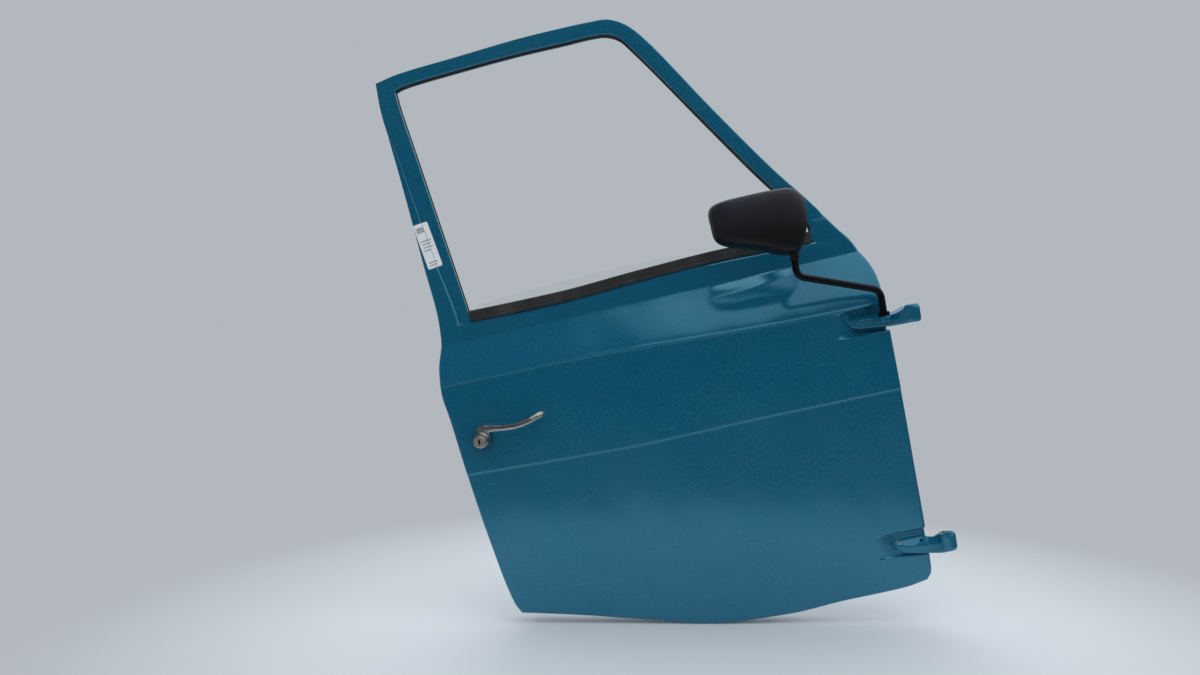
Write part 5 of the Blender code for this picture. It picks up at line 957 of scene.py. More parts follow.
for number, (forwards, up, rise, wide, deep) in enumerate(bar_line):
    before = bar_line[max(number - 1, 0)]
    after = bar_line[min(number + 1, len(bar_line) - 1)]
    heading = Vector((after[0] - before[0], -(after[2] - before[2]), after[1] - before[1])).normalized()
    across = heading.cross(outward).normalized()
    normal = across.cross(heading).normalized()
    centre = (handle_x + forwards, out(HUB_BASE + rise), handle_z + up)
    bar_rings.append(oval(centre, across, normal, wide, deep, 20, 2.6))
bar = ring_body(bar_rings)
lock_bore = cylinder_mesh((handle_x, out(HUB_TOP - 0.014), handle_z),
                          (handle_x, out(HUB_TOP + 0.01), handle_z), 0.0104, 40)
outer_handle = melt("outer_handle_casting", [hub, neck, bar], 0.0009, 6, "handle", ("outer_handle",),
                    [lock_bore])
washer_levels = (
    (SEAT + 0.0001, 0.0172, 0.0172, 0.0005), (SEAT + 0.0024, 0.0172, 0.0172, 0.0005),
    (SEAT + 0.0032, 0.0164, 0.0164, 0.0005),
)
handle_washer = solid_piece("handle_washer", ring_body(disc_rings(handle_x, handle_z, washer_levels)), "door",
                            ("handle_gasket",), None)
print("handle faces", len(outer_handle.data.polygons))

# %% [markdown]
# ## Hinge straps
#
# Each strap is a forging shaped like a wedge: a flat lower face, a ridge along its upper third and a broad
# flank that slopes back from the ridge. It starts as a point in its pocket and grows into the eye round the
# hinge pin. Each row of the tables is one section of it, and the rows are melted together with the eye.

# %% Hinge straps
STRAP_SEAT = POCKET_FLOOR + 0.0006
TUBE_FOOT_HEIGHT, PIN_BORE = 0.056, 0.0055
# Z from the hinge's centre and radius of the eye, whose ends are chamfered
EYE_LEVELS = ((-0.0156, 0.0105), (-0.0140, 0.0128), (-0.0105, 0.0142), (0.0105, 0.0142), (0.0140, 0.0128),
              (0.0156, 0.0105))
# Sections from the tip to the eye: place (0 the tip, 1 the door's edge, 2 the pin), then Z of the bottom, of
# the ridge and of the flank's foot, all from the hinge's centre, then the height of the back and of the ridge
UPPER_ROWS = (
    (0.00, -0.0010, 0.0040, 0.0070, 0.0, 0.0040), (0.12, -0.0125, 0.0025, 0.0080, 0.0, 0.0085),
    (0.28, -0.0158, 0.0010, 0.0087, 0.0, 0.0118), (0.62, -0.0170, -0.0002, 0.0095, 0.0, 0.0135),
    (0.92, -0.0176, 0.0000, 0.0092, 0.0005, 0.0175), (1.10, -0.0176, 0.0015, 0.0060, 0.0045, 0.0225),
    (1.38, -0.0172, 0.0048, 0.0085, 0.0120, 0.0325), (1.66, -0.0164, 0.0105, 0.0148, 0.0190, 0.0425),
    (1.86, -0.0158, 0.0124, 0.0158, 0.0205, 0.0472), (2.02, -0.0155, 0.0128, 0.0158, 0.0205, 0.0486),
)
LOWER_ROWS = (
    (0.00, -0.0015, 0.0015, 0.0050, 0.0, 0.0040), (0.12, -0.0110, -0.0015, 0.0062, 0.0, 0.0080),
    (0.30, -0.0165, -0.0030, 0.0066, 0.0, 0.0118), (0.62, -0.0195, -0.0046, 0.0075, 0.0, 0.0145),
    (0.92, -0.0206, -0.0042, 0.0080, 0.0005, 0.0205), (1.10, -0.0206, -0.0035, 0.0062, 0.0045, 0.0260),
    (1.36, -0.0198, -0.0022, 0.0068, 0.0120, 0.0350), (1.62, -0.0182, -0.0005, 0.0125, 0.0190, 0.0430),
    (1.84, -0.0165, 0.0020, 0.0156, 0.0205, 0.0470), (2.02, -0.0156, 0.0030, 0.0156, 0.0205, 0.0486),
)


def strap_body(centre, reach, rows):
    """A closed body through the wedge-shaped sections of a strap."""
    mouth = float(front_edge(centre))
    rings = []
    for place, bottom, ridge, foot, back, crest in rows:
        x = mouth - reach * (1 - place) if place <= 1 else mouth * (2 - place)
        low, top = STRAP_SEAT + back, STRAP_SEAT + crest
        slope = (bottom, low), (bottom + 0.0004, top - 0.0032), (bottom + 0.0030, top - 0.0012)
        crown = (ridge - 0.0022, top), (ridge, top - 0.0002), (foot, low + (top - low) * 0.18), (foot, low)
        rings.append([(x, out(height), centre + z) for z, height in slope + crown])
    return ring_body(rings)


def hinge_strap(name, node, centre, reach, rows, extra=(), holes=()):
    eye = ring_body([oval((0, 0, centre + z), (1, 0, 0), (0, 1, 0), radius, radius, 40, 2.0)
                     for z, radius in EYE_LEVELS])
    bore = cylinder_mesh((0, 0, centre - EYE_HEIGHT), (0, 0, centre + EYE_HEIGHT), PIN_BORE, 32)
    bodies = [strap_body(centre, reach, rows), eye, *extra]
    return melt(name, bodies, 0.0010, 2, "door", (node,), [bore, *holes])


collar_x, collar_z = at(0.0556, 0.400)
collar_y = out(TUBE_FOOT_HEIGHT)
boss = cylinder_mesh((collar_x, collar_y, collar_z - 0.0096), (collar_x, collar_y, collar_z - 0.0004), 0.0103)
web = ring_body([
    oval((collar_x, out(height), collar_z - 0.005), (1, 0, 0), (0, 0, 1), 0.0072, 0.0045, 16, 3.5)
    for height in (0.030, 0.042, TUBE_FOOT_HEIGHT)])
upper_strap = hinge_strap("hinge_strap_upper", "hinge_arm_upper", HINGE_SPAN, 0.0705, UPPER_ROWS, [boss, web])
# The lower arm has a small hole in it and a low peak on its eye
pin_hole = cylinder_mesh((-0.0385, out(0.022), 0.0022), (-0.0385, out(0.05), 0.0022), 0.0022, 20)
peak = ring_body([oval((-0.002, out(0.0640), z), (1, 0, 0), (0, 1, 0), wide, 0.0040, 20, 2.0)
                  for z, wide in ((0.0120, 0.0130), (0.0155, 0.0105), (0.0180, 0.0055), (0.0192, 0.0020))])
lower_strap = hinge_strap("hinge_strap_lower", "hinge_arm_lower", 0.0, 0.0625, LOWER_ROWS, [peak], [pin_hole])
print("straps", len(upper_strap.data.polygons), len(lower_strap.data.polygons))

# %% [markdown]
# ## Mirror
#
# The mirror is a moulded bowl on a bent steel tube. Folded along the door, it shows its plain, softly crowned
# back. The bowl's outline is a spline through its measured points; rings of it, drawn in and out, give the
# crown, and a thick shell gives the rim round the glass.

# %% Mirror housing
MIRROR_CENTRE = at(0.2803, 0.586)
MIRROR_HALF_WIDTH, MIRROR_HALF_HEIGHT = 0.083, 0.0585
MIRROR_STANDOFF, MIRROR_DEPTH = 0.078, 0.046
MIRROR_OUTLINE = ((-0.77, 0.83), (-0.2, 0.91), (0.41, 0.95), (0.73, 0.92), (0.93, 0.70), (1.0, 0.39),
                  (0.965, -0.22), (0.87, -0.61), (0.74, -0.94), (0.60, -1.0), (0.40, -0.98), (-0.10, -0.71),
                  (-0.77, -0.44), (-0.93, -0.24), (-0.98, 0.22), (-0.99, 0.54), (-0.93, 0.73))


def closed_spline(points, steps):
    points = [Vector(point) for point in points]
    doubled = points[-2:] + points + points[:2]
    curve = spline(doubled, steps)
    return curve[steps * 2:steps * (2 + len(points))]


mirror_outline = closed_spline(MIRROR_OUTLINE, 4)


def mirror_ring(size, depth):
    return [(MIRROR_CENTRE.x + p.x * size * MIRROR_HALF_WIDTH, out(MIRROR_STANDOFF + depth * MIRROR_DEPTH),
             MIRROR_CENTRE.y + p.y * size * MIRROR_HALF_HEIGHT) for p in mirror_outline]


crown = ((1.0, 0.0), (1.0, 0.10), (0.996, 0.22), (0.988, 0.36), (0.972, 0.52), (0.945, 0.67), (0.90, 0.79),
         (0.83, 0.88), (0.73, 0.94), (0.60, 0.975), (0.44, 0.992), (0.26, 0.999), (0.08, 1.0))
housing_points, housing_faces = [], []
for size, depth in crown:
    housing_points.extend(mirror_ring(size, depth))
ring_size = len(mirror_outline)
for row in range(len(crown) - 1):
    for step in range(ring_size):
        after = (step + 1) % ring_size
        housing_faces.append((row * ring_size + step, row * ring_size + after,
                              (row + 1) * ring_size + after, (row + 1) * ring_size + step))
housing_faces.append(tuple(range((len(crown) - 1) * ring_size, len(crown) * ring_size)))
mirror_housing = add_piece("mirror_bowl", housing_points, housing_faces, "mirror_head", ("mirror_housing",))
face_outwards(mirror_housing, MIRROR_STANDOFF + MIRROR_DEPTH)
thicken(mirror_housing, 0.0025)
smooth(mirror_housing, 50)
print("housing faces", len(mirror_housing.data.polygons))

# %% [markdown]
# The tube follows a bent line. Its corners are rounded first, because a bent tube keeps one radius through
# each bend, and then a ring is set square to the line at each of its points.

# %% Mirror tube
TUBE_RADIUS, TUBE_BEND_RADIUS = 0.006, 0.015
TUBE_TOP_HEIGHT = 0.100


def corner_at(back, up, height):
    place = at(back, up)
    return Vector((place.x, out(height), place.y))


tube_corners = [
    corner_at(0.0556, 0.400, TUBE_FOOT_HEIGHT), corner_at(0.0556, 0.446, TUBE_FOOT_HEIGHT),
    corner_at(0.2260, 0.490, TUBE_TOP_HEIGHT), corner_at(0.2245, 0.532, TUBE_TOP_HEIGHT),
]


def bent_route(corners, radius, steps=14):
    route = [corners[0]]
    for before, corner, after in zip(corners, corners[1:], corners[2:]):
        start = corner + (before - corner).normalized() * radius
        end = corner + (after - corner).normalized() * radius
        for step in range(steps + 1):
            share = step / steps
            route.append(start * (1 - share) ** 2 + corner * 2 * share * (1 - share) + end * share ** 2)
    route.append(corners[-1])
    return route


def tube_body(route, radius, count=28):
    rings, side = [], Vector((0, 1, 0))
    for number, place in enumerate(route):
        heading = (route[min(number + 1, len(route) - 1)] - route[max(number - 1, 0)]).normalized()
        side = (side - heading * side.dot(heading)).normalized()
        rings.append(oval(place, side, heading.cross(side), radius, radius, count, 2.0))
    return ring_body(rings)


route = bent_route(tube_corners, TUBE_BEND_RADIUS)
mirror_tube = solid_piece("mirror_tube", tube_body(route, TUBE_RADIUS), "mirror_support", ("mirror_arm",),
                          50)
print("points along the tube", len(route))

# %% [markdown]
# The neck that clamps the tube is a slim sleeve, and a small dark piece in the lock's face is painted shade
# in its keyway.

# %% Neck sleeve and painted keyway shade
# Height over the tube's end and radius of the sleeve
SLEEVE_LEVELS = ((-0.0150, 0.0066), (-0.0135, 0.0074), (0.0, 0.0082), (0.0050, 0.0082))
KEYWAY_SHADE_LEVELS = ((0.0925, 0.0016, 0.0042, 0.0), (0.0940, 0.0016, 0.0042, 0.0))
tube_top = tube_corners[-1]
sleeve_shape = ring_body([
    oval(tube_top + Vector((0, 0, lift)), (1, 0, 0), (0, 1, 0), radius, radius, 28, 2.0)
    for lift, radius in SLEEVE_LEVELS])
sleeve = solid_piece("mirror_neck_sleeve", sleeve_shape, "mirror_support", ("mirror_neck",))
# A dark disc set into the lock's face: painted shade in the keyway
keyway_shade_shape = ring_body(disc_rings(handle_x, handle_z, KEYWAY_SHADE_LEVELS, 4.0, 20))
keyway_shade = solid_piece("keyway_shadow", keyway_shade_shape, "lock")
print("sleeve and keyway", len(sleeve.data.polygons), len(keyway_shade.data.polygons))

# %% [markdown]
# ## Paper label
#
# A stock label is stuck across the lapped pillar. It is a sheet a fifth of a millimetre thick that steps down
# where the skin's tongue ends, with plain grey blocks where print would be.

# %% Paper label
label_centre = Vector((-0.8236, 0.6565))
label_along = Vector((-0.0156, 0.0799)).normalized()
label_across = Vector((label_along.y, -label_along.x))
LABEL_LENGTH, LABEL_WIDTH, LABEL_CORNER, LABEL_SHEET = 0.084, 0.027, 0.003, 0.0002
LABEL_ROWS, LABEL_COLUMNS = 29, 15
label_points = []
for row in range(LABEL_ROWS):
    for column in range(LABEL_COLUMNS):
        up = (row / (LABEL_ROWS - 1) - 0.5) * LABEL_LENGTH
        side = (column / (LABEL_COLUMNS - 1) - 0.5) * LABEL_WIDTH
        corner = (max(abs(up) - LABEL_LENGTH / 2 + LABEL_CORNER, 0),
                  max(abs(side) - LABEL_WIDTH / 2 + LABEL_CORNER, 0))
        reach = math.hypot(*corner)
        if reach > LABEL_CORNER:
            pull = (reach - LABEL_CORNER) / reach
            up -= math.copysign(corner[0] * pull, up)
            side -= math.copysign(corner[1] * pull, side)
        place = label_centre + label_along * up + label_across * side
        edge = float(rear_edge(place.y)) + float(tongue_width(place.y / DOOR_HEIGHT))
        step_share = min(1.0, max(0.0, (place.x - edge) / 0.002 + 0.5))
        height = LABEL_SHEET * (1 - step_share) + (FRAME_FACE + LABEL_SHEET) * step_share
        label_points.append((place.x, out(height), place.y))
label = add_piece("paper_label", label_points, grid_faces(LABEL_ROWS, LABEL_COLUMNS), "door")
face_outwards(label, LABEL_SHEET)
thicken(label, LABEL_SHEET, 1.0)
uv = label.data.uv_layers.new(name="face")
for loop in label.data.loops:
    row, column = divmod(loop.vertex_index, LABEL_COLUMNS)
    uv.data[loop.index].uv = (column / (LABEL_COLUMNS - 1), row / (LABEL_ROWS - 1))
smooth(label, 60)
print("label points", len(label_points))

# %% [markdown]
# ## Shared surface effects
#
# Several finishes need the same small effects: fine speckle, dust that gathers in patches, and thin
# scratches. Each effect is a shader node group with named sockets, made once and placed where it is needed.

# %% Node helpers


def new_group(name, inputs, outputs):
    group = bpy.data.node_groups.new(name, "ShaderNodeTree")
    for label_text, kind, value in inputs:
        socket = group.interface.new_socket(label_text, in_out="INPUT", socket_type=kind)
        if value is not None:
            socket.default_value = value
    for label_text, kind in outputs:
        group.interface.new_socket(label_text, in_out="OUTPUT", socket_type=kind)
    return group, group.nodes.new("NodeGroupInput"), group.nodes.new("NodeGroupOutput")


def math_node(tree, operation, first, second=None, clamp=False):
    node = tree.nodes.new("ShaderNodeMath")
    node.operation = operation
    node.use_clamp = clamp
    for socket, value in zip(node.inputs, (first, second)):
        if value is None:
            continue
        if isinstance(value, (int, float)):
            socket.default_value = value
        else:
            tree.links.new(value, socket)
    return node.outputs[0]


def ramp(tree, value, low, high):
    """0 below low, 1 above high, and smooth between."""
    node = tree.nodes.new("ShaderNodeMapRange")
    node.interpolation_type = "SMOOTHSTEP"
    tree.links.new(value, node.inputs["Value"])
    for name, number in (("From Min", low), ("From Max", high)):
        if isinstance(number, (int, float)):
            node.inputs[name].default_value = number
        else:
            tree.links.new(number, node.inputs[name])
    return node.outputs["Result"]


def noise(tree, coordinates, scale, detail=3.0, rough=0.55):
    node = tree.nodes.new("ShaderNodeTexNoise")
    tree.links.new(coordinates, node.inputs["Vector"])
    if isinstance(scale, (int, float)):
        node.inputs["Scale"].default_value = scale
    else:
        tree.links.new(scale, node.inputs["Scale"])
    node.inputs["Detail"].default_value = detail
    node.inputs["Roughness"].default_value = rough
    return node.outputs["Fac"]


def mix_colour(tree, share, first, second):
    node = tree.nodes.new("ShaderNodeMix")
    node.data_type = "RGBA"
    # Inputs 6 and 7 and output 2 are the ones for colours
    for socket, value in ((node.inputs["Factor"], share), (node.inputs[6], first), (node.inputs[7], second)):
        if isinstance(value, (int, float)):
            socket.default_value = value
        elif isinstance(value, tuple):
            socket.default_value = (*value, 1) if len(value) == 3 else value
        else:
            tree.links.new(value, socket)
    return node.outputs[2]


print("node helpers ready")

# %% Speckle, dust and scratches
FLOAT, VECTOR = "NodeSocketFloat", "NodeSocketVector"


def speckle_group():
    """Fine grains: a mask of small pale grains, and a height."""
    tree, give, take = new_group("Fine grain", [("Place", VECTOR, None), ("Grains per metre", FLOAT, 700.0),
                                                ("Cover", FLOAT, 0.5)], [("Mask", FLOAT), ("Height", FLOAT)])
    fine = noise(tree, give.outputs["Place"], give.outputs["Grains per metre"], 2.0, 0.6)
    threshold = math_node(tree, "SUBTRACT", 0.78, math_node(tree, "MULTIPLY", give.outputs["Cover"], 0.35))
    grains = ramp(tree, fine, math_node(tree, "SUBTRACT", threshold, 0.06), threshold)
    tree.links.new(grains, take.inputs["Mask"])
    tree.links.new(fine, take.inputs["Height"])
    return tree


def dust_group():
    """Dust and rain marks in broad, soft patches."""
    tree, give, take = new_group("Dust film", [("Place", VECTOR, None), ("Patches per metre", FLOAT, 6.0),
                                               ("Amount", FLOAT, 0.3)], [("Mask", FLOAT)])
    broad = noise(tree, give.outputs["Place"], give.outputs["Patches per metre"], 6.0, 0.65)
    fine = noise(tree, give.outputs["Place"], 260.0, 3.0, 0.6)
    patch = ramp(tree, broad, 0.38, 0.72)
    uneven = math_node(tree, "ADD", math_node(tree, "MULTIPLY", fine, 0.9), 0.2)
    grainy = math_node(tree, "MULTIPLY", patch, uneven)
    tree.links.new(math_node(tree, "MULTIPLY", grainy, give.outputs["Amount"], True), take.inputs["Mask"])
    return tree


def scratch_group():
    """Thin, short marks in two directions."""
    tree, give, take = new_group("Fine scratches", [("Place", VECTOR, None), ("Amount", FLOAT, 0.3)],
                                 [("Mask", FLOAT)])
    total = None
    for angle, stretch in ((0.35, (6.0, 240.0)), (-0.95, (5.0, 200.0))):
        mapping = tree.nodes.new("ShaderNodeMapping")
        mapping.inputs["Rotation"].default_value = (0, angle, 0)
        mapping.inputs["Scale"].default_value = (stretch[0], 60.0, stretch[1])
        tree.links.new(give.outputs["Place"], mapping.inputs["Vector"])
        lines = noise(tree, mapping.outputs["Vector"], 1.0, 1.0, 0.4)
        thin = ramp(tree, lines, 0.735, 0.76)
        total = thin if total is None else math_node(tree, "MAXIMUM", total, thin)
    where = ramp(tree, noise(tree, give.outputs["Place"], 4.0, 2.0), 0.45, 0.6)
    placed = math_node(tree, "MULTIPLY", total, where)
    masked = math_node(tree, "MULTIPLY", placed, give.outputs["Amount"], True)
    tree.links.new(masked, take.inputs["Mask"])
    return tree


GRAIN, DUST, SCRATCH = speckle_group(), dust_group(), scratch_group()
print("groups", [group.name for group in (GRAIN, DUST, SCRATCH)])

# %% [markdown]
# ## Materials
#
# A small maker sets up each material: a Principled shader, the object's own coordinates, and a way to place a
# group with its values. Colours are written as linear light.

# %% Material maker


class Finish:
    """A material with its shader, its coordinates and helpers to place effects."""

    def __init__(self, name, **values):
        self.material = bpy.data.materials.new(name)
        self.material.use_nodes = True
        self.tree = self.material.node_tree
        self.shader = self.tree.nodes["Principled BSDF"]
        self.place = self.tree.nodes.new("ShaderNodeTexCoord").outputs["Object"]
        for key, value in values.items():
            self.shader.inputs[key.replace("_", " ")].default_value = value

    def effect(self, group, **values):
        node = self.tree.nodes.new("ShaderNodeGroup")
        node.node_tree = group
        self.tree.links.new(self.place, node.inputs["Place"])
        for key, value in values.items():
            node.inputs[key.replace("_", " ")].default_value = value
        return node.outputs

    def feed(self, socket, value):
        self.tree.links.new(value, self.shader.inputs[socket])

    def bump(self, height, strength, distance):
        node = self.tree.nodes.new("ShaderNodeBump")
        node.inputs["Strength"].default_value = strength
        node.inputs["Distance"].default_value = distance
        self.tree.links.new(height, node.inputs["Height"])
        self.feed("Normal", node.outputs["Normal"])

    def attribute(self, name):
        node = self.tree.nodes.new("ShaderNodeAttribute")
        node.attribute_name = name
        return node.outputs["Fac"]


print("finish maker ready")

# %% [markdown]
# ### Teal paint
#
# The paint was brushed or sprayed on by hand: a deep teal, with a fine orange-peel grain whose glints are
# painted into the colour as pale specks. Its rims are painted pale, partly as wear and partly as a painted
# highlight; thin dust lies in patches, and its reflections are tinted.

# %% Teal paint
TEAL = (0.0034, 0.091, 0.168)
PALE_TEAL = (0.022, 0.230, 0.350)


def teal_paint():
    # The flakes in the paint tint what it reflects, so the gloss is a coloured specular and not a clear coat
    paint = Finish("teal_paint_finish", IOR=1.7, Specular_IOR_Level=1.0, Specular_Tint=(0.34, 0.78, 1.0, 1.0))
    tree = paint.tree
    grain = paint.effect(GRAIN, Grains_per_metre=420.0, Cover=0.6)
    dust = paint.effect(DUST, Patches_per_metre=5.0, Amount=0.06)["Mask"]
    scratches = paint.effect(SCRATCH, Amount=0.10)["Mask"]
    cloud = noise(tree, paint.place, 11.0, 4.0)
    shade = mix_colour(tree, cloud, tuple(c * 0.90 for c in TEAL), tuple(c * 1.08 for c in TEAL))
    # Pale specks painted into the colour: painted glints of the grain catching the light
    glint_specks = math_node(tree, "MULTIPLY", grain["Mask"], 0.20)
    colour = mix_colour(tree, glint_specks, shade, PALE_TEAL)
    colour = mix_colour(tree, dust, colour, (0.10, 0.20, 0.25))
    colour = mix_colour(tree, scratches, colour, (0.16, 0.27, 0.32))
    # The pale rim along the rolled edge and hem is partly wear and partly a painted highlight
    ragged = math_node(tree, "MULTIPLY", noise(tree, paint.place, 90.0, 3.0), 0.5)
    rim = ramp(tree, math_node(tree, "ADD", paint.attribute("rim"), ragged), 0.95, 1.35)
    colour = mix_colour(tree, math_node(tree, "MULTIPLY", rim, 0.75), colour, (0.16, 0.33, 0.40))
    paint.feed("Base Color", colour)
    rough = math_node(tree, "ADD", 0.11, math_node(tree, "MULTIPLY", dust, 0.5))
    paint.feed("Roughness", rough)
    paint.bump(grain["Height"], 0.10, 0.0006)
    return paint.material


TEAL_PAINT = teal_paint()
print("made", TEAL_PAINT.name)

# %% [markdown]
# ### Rubber, plastic and enamel
#
# Old rubber is a dry, dusty grey-black. The mirror's bowl is moulded with a fine leather-like grain, dusty in
# patches and painted paler over its upper half as a painted highlight. The tube is black enamel, rusted
# through in specks.

# %% Rubber, plastic, enamel


def old_rubber():
    rubber = Finish("black_rubber_finish", Roughness=0.72)
    dust = rubber.effect(DUST, Patches_per_metre=26.0, Amount=0.75)["Mask"]
    grain = rubber.effect(GRAIN, Grains_per_metre=1100.0, Cover=0.35)
    rubber.feed("Base Color", mix_colour(rubber.tree, dust, (0.022, 0.021, 0.022), (0.075, 0.070, 0.068)))
    rubber.bump(grain["Height"], 0.25, 0.0004)
    return rubber.material


def moulded_plastic():
    plastic = Finish("black_plastic_finish", Roughness=0.5, Specular_IOR_Level=0.3)
    tree = plastic.tree
    dust = plastic.effect(DUST, Patches_per_metre=13.0, Amount=0.20)["Mask"]
    scratches = plastic.effect(SCRATCH, Amount=0.2)["Mask"]
    grain = plastic.effect(GRAIN, Grains_per_metre=850.0, Cover=0.5)
    split = tree.nodes.new("ShaderNodeSeparateXYZ")
    tree.links.new(plastic.place, split.inputs[0])
    # The bowl's upper half is painted paler, a painted highlight from the light above, with the dust added on
    # top
    painted_top_light = ramp(tree, split.outputs["Z"], 0.555, 0.640)
    top_light_and_dust = math_node(tree, "ADD", math_node(tree, "MULTIPLY", painted_top_light, 0.75), dust, True)
    colour = mix_colour(tree, top_light_and_dust, (0.0020, 0.0022, 0.0032), (0.019, 0.021, 0.028))
    plastic.feed("Base Color", mix_colour(tree, scratches, colour, (0.09, 0.09, 0.095)))
    plastic.feed("Roughness", math_node(tree, "ADD", 0.46, math_node(tree, "MULTIPLY", dust, 0.4)))
    plastic.bump(grain["Height"], 0.45, 0.0005)
    return plastic.material


def rusty_enamel():
    enamel = Finish("black_enamel_finish", Roughness=0.34, Specular_IOR_Level=0.14)
    tree = enamel.tree
    rust = ramp(tree, noise(tree, enamel.place, 150.0, 5.0, 0.7), 0.56, 0.66)
    dust = enamel.effect(DUST, Patches_per_metre=30.0, Amount=0.15)["Mask"]
    rusted = math_node(tree, "MULTIPLY", rust, 0.8)
    colour = mix_colour(tree, rusted, (0.0015, 0.0018, 0.0035), (0.020, 0.009, 0.008))
    enamel.feed("Base Color", mix_colour(tree, dust, colour, (0.05, 0.05, 0.055)))
    enamel.feed("Roughness", math_node(tree, "ADD", 0.30, math_node(tree, "MULTIPLY", rust, 0.5)))
    enamel.bump(rust, 0.5, 0.0003)
    return enamel.material


BLACK_RUBBER, BLACK_PLASTIC, BLACK_ENAMEL = old_rubber(), moulded_plastic(), rusty_enamel()
print("made", BLACK_RUBBER.name, BLACK_PLASTIC.name, BLACK_ENAMEL.name)

# %% [markdown]
# ### Metal, glass and small parts
#
# The handle's chrome is dulled by fine pits. The hidden steel is zinc plated, with the blotchy, slightly
# yellow cast that plating has. The glass is clear with dust on it, and the mirror is silvered.

# %% Metal, glass, nylon


def pitted_chrome():
    chrome = Finish("bright_chrome_finish", Metallic=1.0)
    tree = chrome.tree
    pits = ramp(tree, noise(tree, chrome.place, 900.0, 3.0, 0.7), 0.60, 0.72)
    haze = chrome.effect(DUST, Patches_per_metre=40.0, Amount=0.6)["Mask"]
    chrome.feed("Base Color", mix_colour(tree, pits, (0.50, 0.49, 0.48), (0.15, 0.12, 0.10)))
    chrome.feed("Roughness", math_node(tree, "ADD", 0.24, math_node(tree, "MULTIPLY", haze, 0.35)))
    chrome.bump(pits, 0.3, 0.0002)
    return chrome.material


def zinc_steel():
    steel = Finish("zinc_steel_finish", Metallic=0.9)
    tree = steel.tree
    blotch = noise(tree, steel.place, 45.0, 5.0, 0.6)
    grain = steel.effect(GRAIN, Grains_per_metre=1400.0, Cover=0.3)
    steel.feed("Base Color", mix_colour(tree, blotch, (0.36, 0.35, 0.33), (0.60, 0.57, 0.50)))
    steel.feed("Roughness", math_node(tree, "ADD", 0.30, math_node(tree, "MULTIPLY", blotch, 0.25)))
    steel.bump(grain["Height"], 0.2, 0.0002)
    return steel.material


def dusty_glass():
    glass = Finish("window_glass_finish", Base_Color=(0.965, 0.985, 0.98, 1), IOR=1.5,
                   Transmission_Weight=1.0)
    dust = glass.effect(DUST, Patches_per_metre=9.0, Amount=0.25)["Mask"]
    glass.feed("Roughness", math_node(glass.tree, "MULTIPLY", dust, 0.4))
    return glass.material


def silvered():
    mirror = Finish("mirror_silver_finish", Metallic=1.0, Base_Color=(0.85, 0.86, 0.87, 1))
    dust = mirror.effect(DUST, Patches_per_metre=16.0, Amount=0.5)["Mask"]
    smeared = math_node(mirror.tree, "MULTIPLY", dust, 0.3)
    mirror.feed("Roughness", math_node(mirror.tree, "ADD", 0.02, smeared))
    return mirror.material


def pale_nylon():
    nylon = Finish("nylon_finish", Roughness=0.5)
    grease = noise(nylon.tree, nylon.place, 120.0, 4.0)
    nylon.feed("Base Color", mix_colour(nylon.tree, ramp(nylon.tree, grease, 0.5, 0.7),
                                        (0.55, 0.54, 0.48), (0.16, 0.14, 0.11)))
    return nylon.material


CHROME, ZINC, GLASS, SILVER, NYLON = pitted_chrome(), zinc_steel(), dusty_glass(), silvered(), pale_nylon()
print("made", [m.name for m in (CHROME, ZINC, GLASS, SILVER, NYLON)])

# %% [markdown]
# ### Label paper
#
# White paper, a little yellowed, with plain grey bars and a dark square in place of print. The bars come from
# the label's own flat coordinates: each is a mask between two limits across and two along.

# %% Label paper


def label_paper():
    paper = Finish("label_paper_finish", Roughness=0.6)
    tree = paper.tree
    flat = tree.nodes.new("ShaderNodeUVMap")
    flat.uv_map = "face"
    split = tree.nodes.new("ShaderNodeSeparateXYZ")
    tree.links.new(flat.outputs["UV"], split.inputs[0])
    across, along = split.outputs["X"], split.outputs["Y"]

    def band(value, low, high):
        return math_node(tree, "MULTIPLY", math_node(tree, "GREATER_THAN", value, low),
                         math_node(tree, "LESS_THAN", value, high))

    ink = None
    fields = ((0.12, 0.62, 0.80, 0.92), (0.18, 0.86, 0.60, 0.63), (0.18, 0.78, 0.53, 0.56),
              (0.18, 0.84, 0.46, 0.49), (0.18, 0.60, 0.39, 0.42), (0.18, 0.80, 0.12, 0.15),
              (0.18, 0.70, 0.06, 0.09))
    for left, right, low, high in fields:
        block = math_node(tree, "MULTIPLY", band(across, left, right), band(along, low, high))
        ink = block if ink is None else math_node(tree, "MAXIMUM", ink, block)
    worn = math_node(tree, "MULTIPLY", ink, ramp(tree, noise(tree, paper.place, 1500.0, 2.0), 0.35, 0.6))
    dust = paper.effect(DUST, Patches_per_metre=60.0, Amount=0.3)["Mask"]
    white = mix_colour(tree, dust, (0.76, 0.78, 0.80), (0.50, 0.50, 0.48))
    paper.feed("Base Color", mix_colour(tree, worn, white, (0.10, 0.11, 0.12)))
    return paper.material


LABEL = label_paper()
print("made", LABEL.name)

# %% [markdown]
# ## Give every piece its finish
#
# New pieces get their material in an empty slot. Nodes of the working model that stay visible get theirs by
# changing what is in the slot they already have.

# %% Paint everything
by_slot = {
    "teal_paint": TEAL_PAINT, "black_rubber": BLACK_RUBBER, "window_glass": GLASS, "zinc_steel": ZINC,
    "bright_chrome": CHROME, "black_plastic": BLACK_PLASTIC, "black_enamel": BLACK_ENAMEL,
    "mirror_silver": SILVER, "nylon": NYLON,
}


def paint(piece, material):
    if piece.material_slots:
        for held in piece.material_slots:
            held.material = material
    else:
        piece.data.materials.append(material)


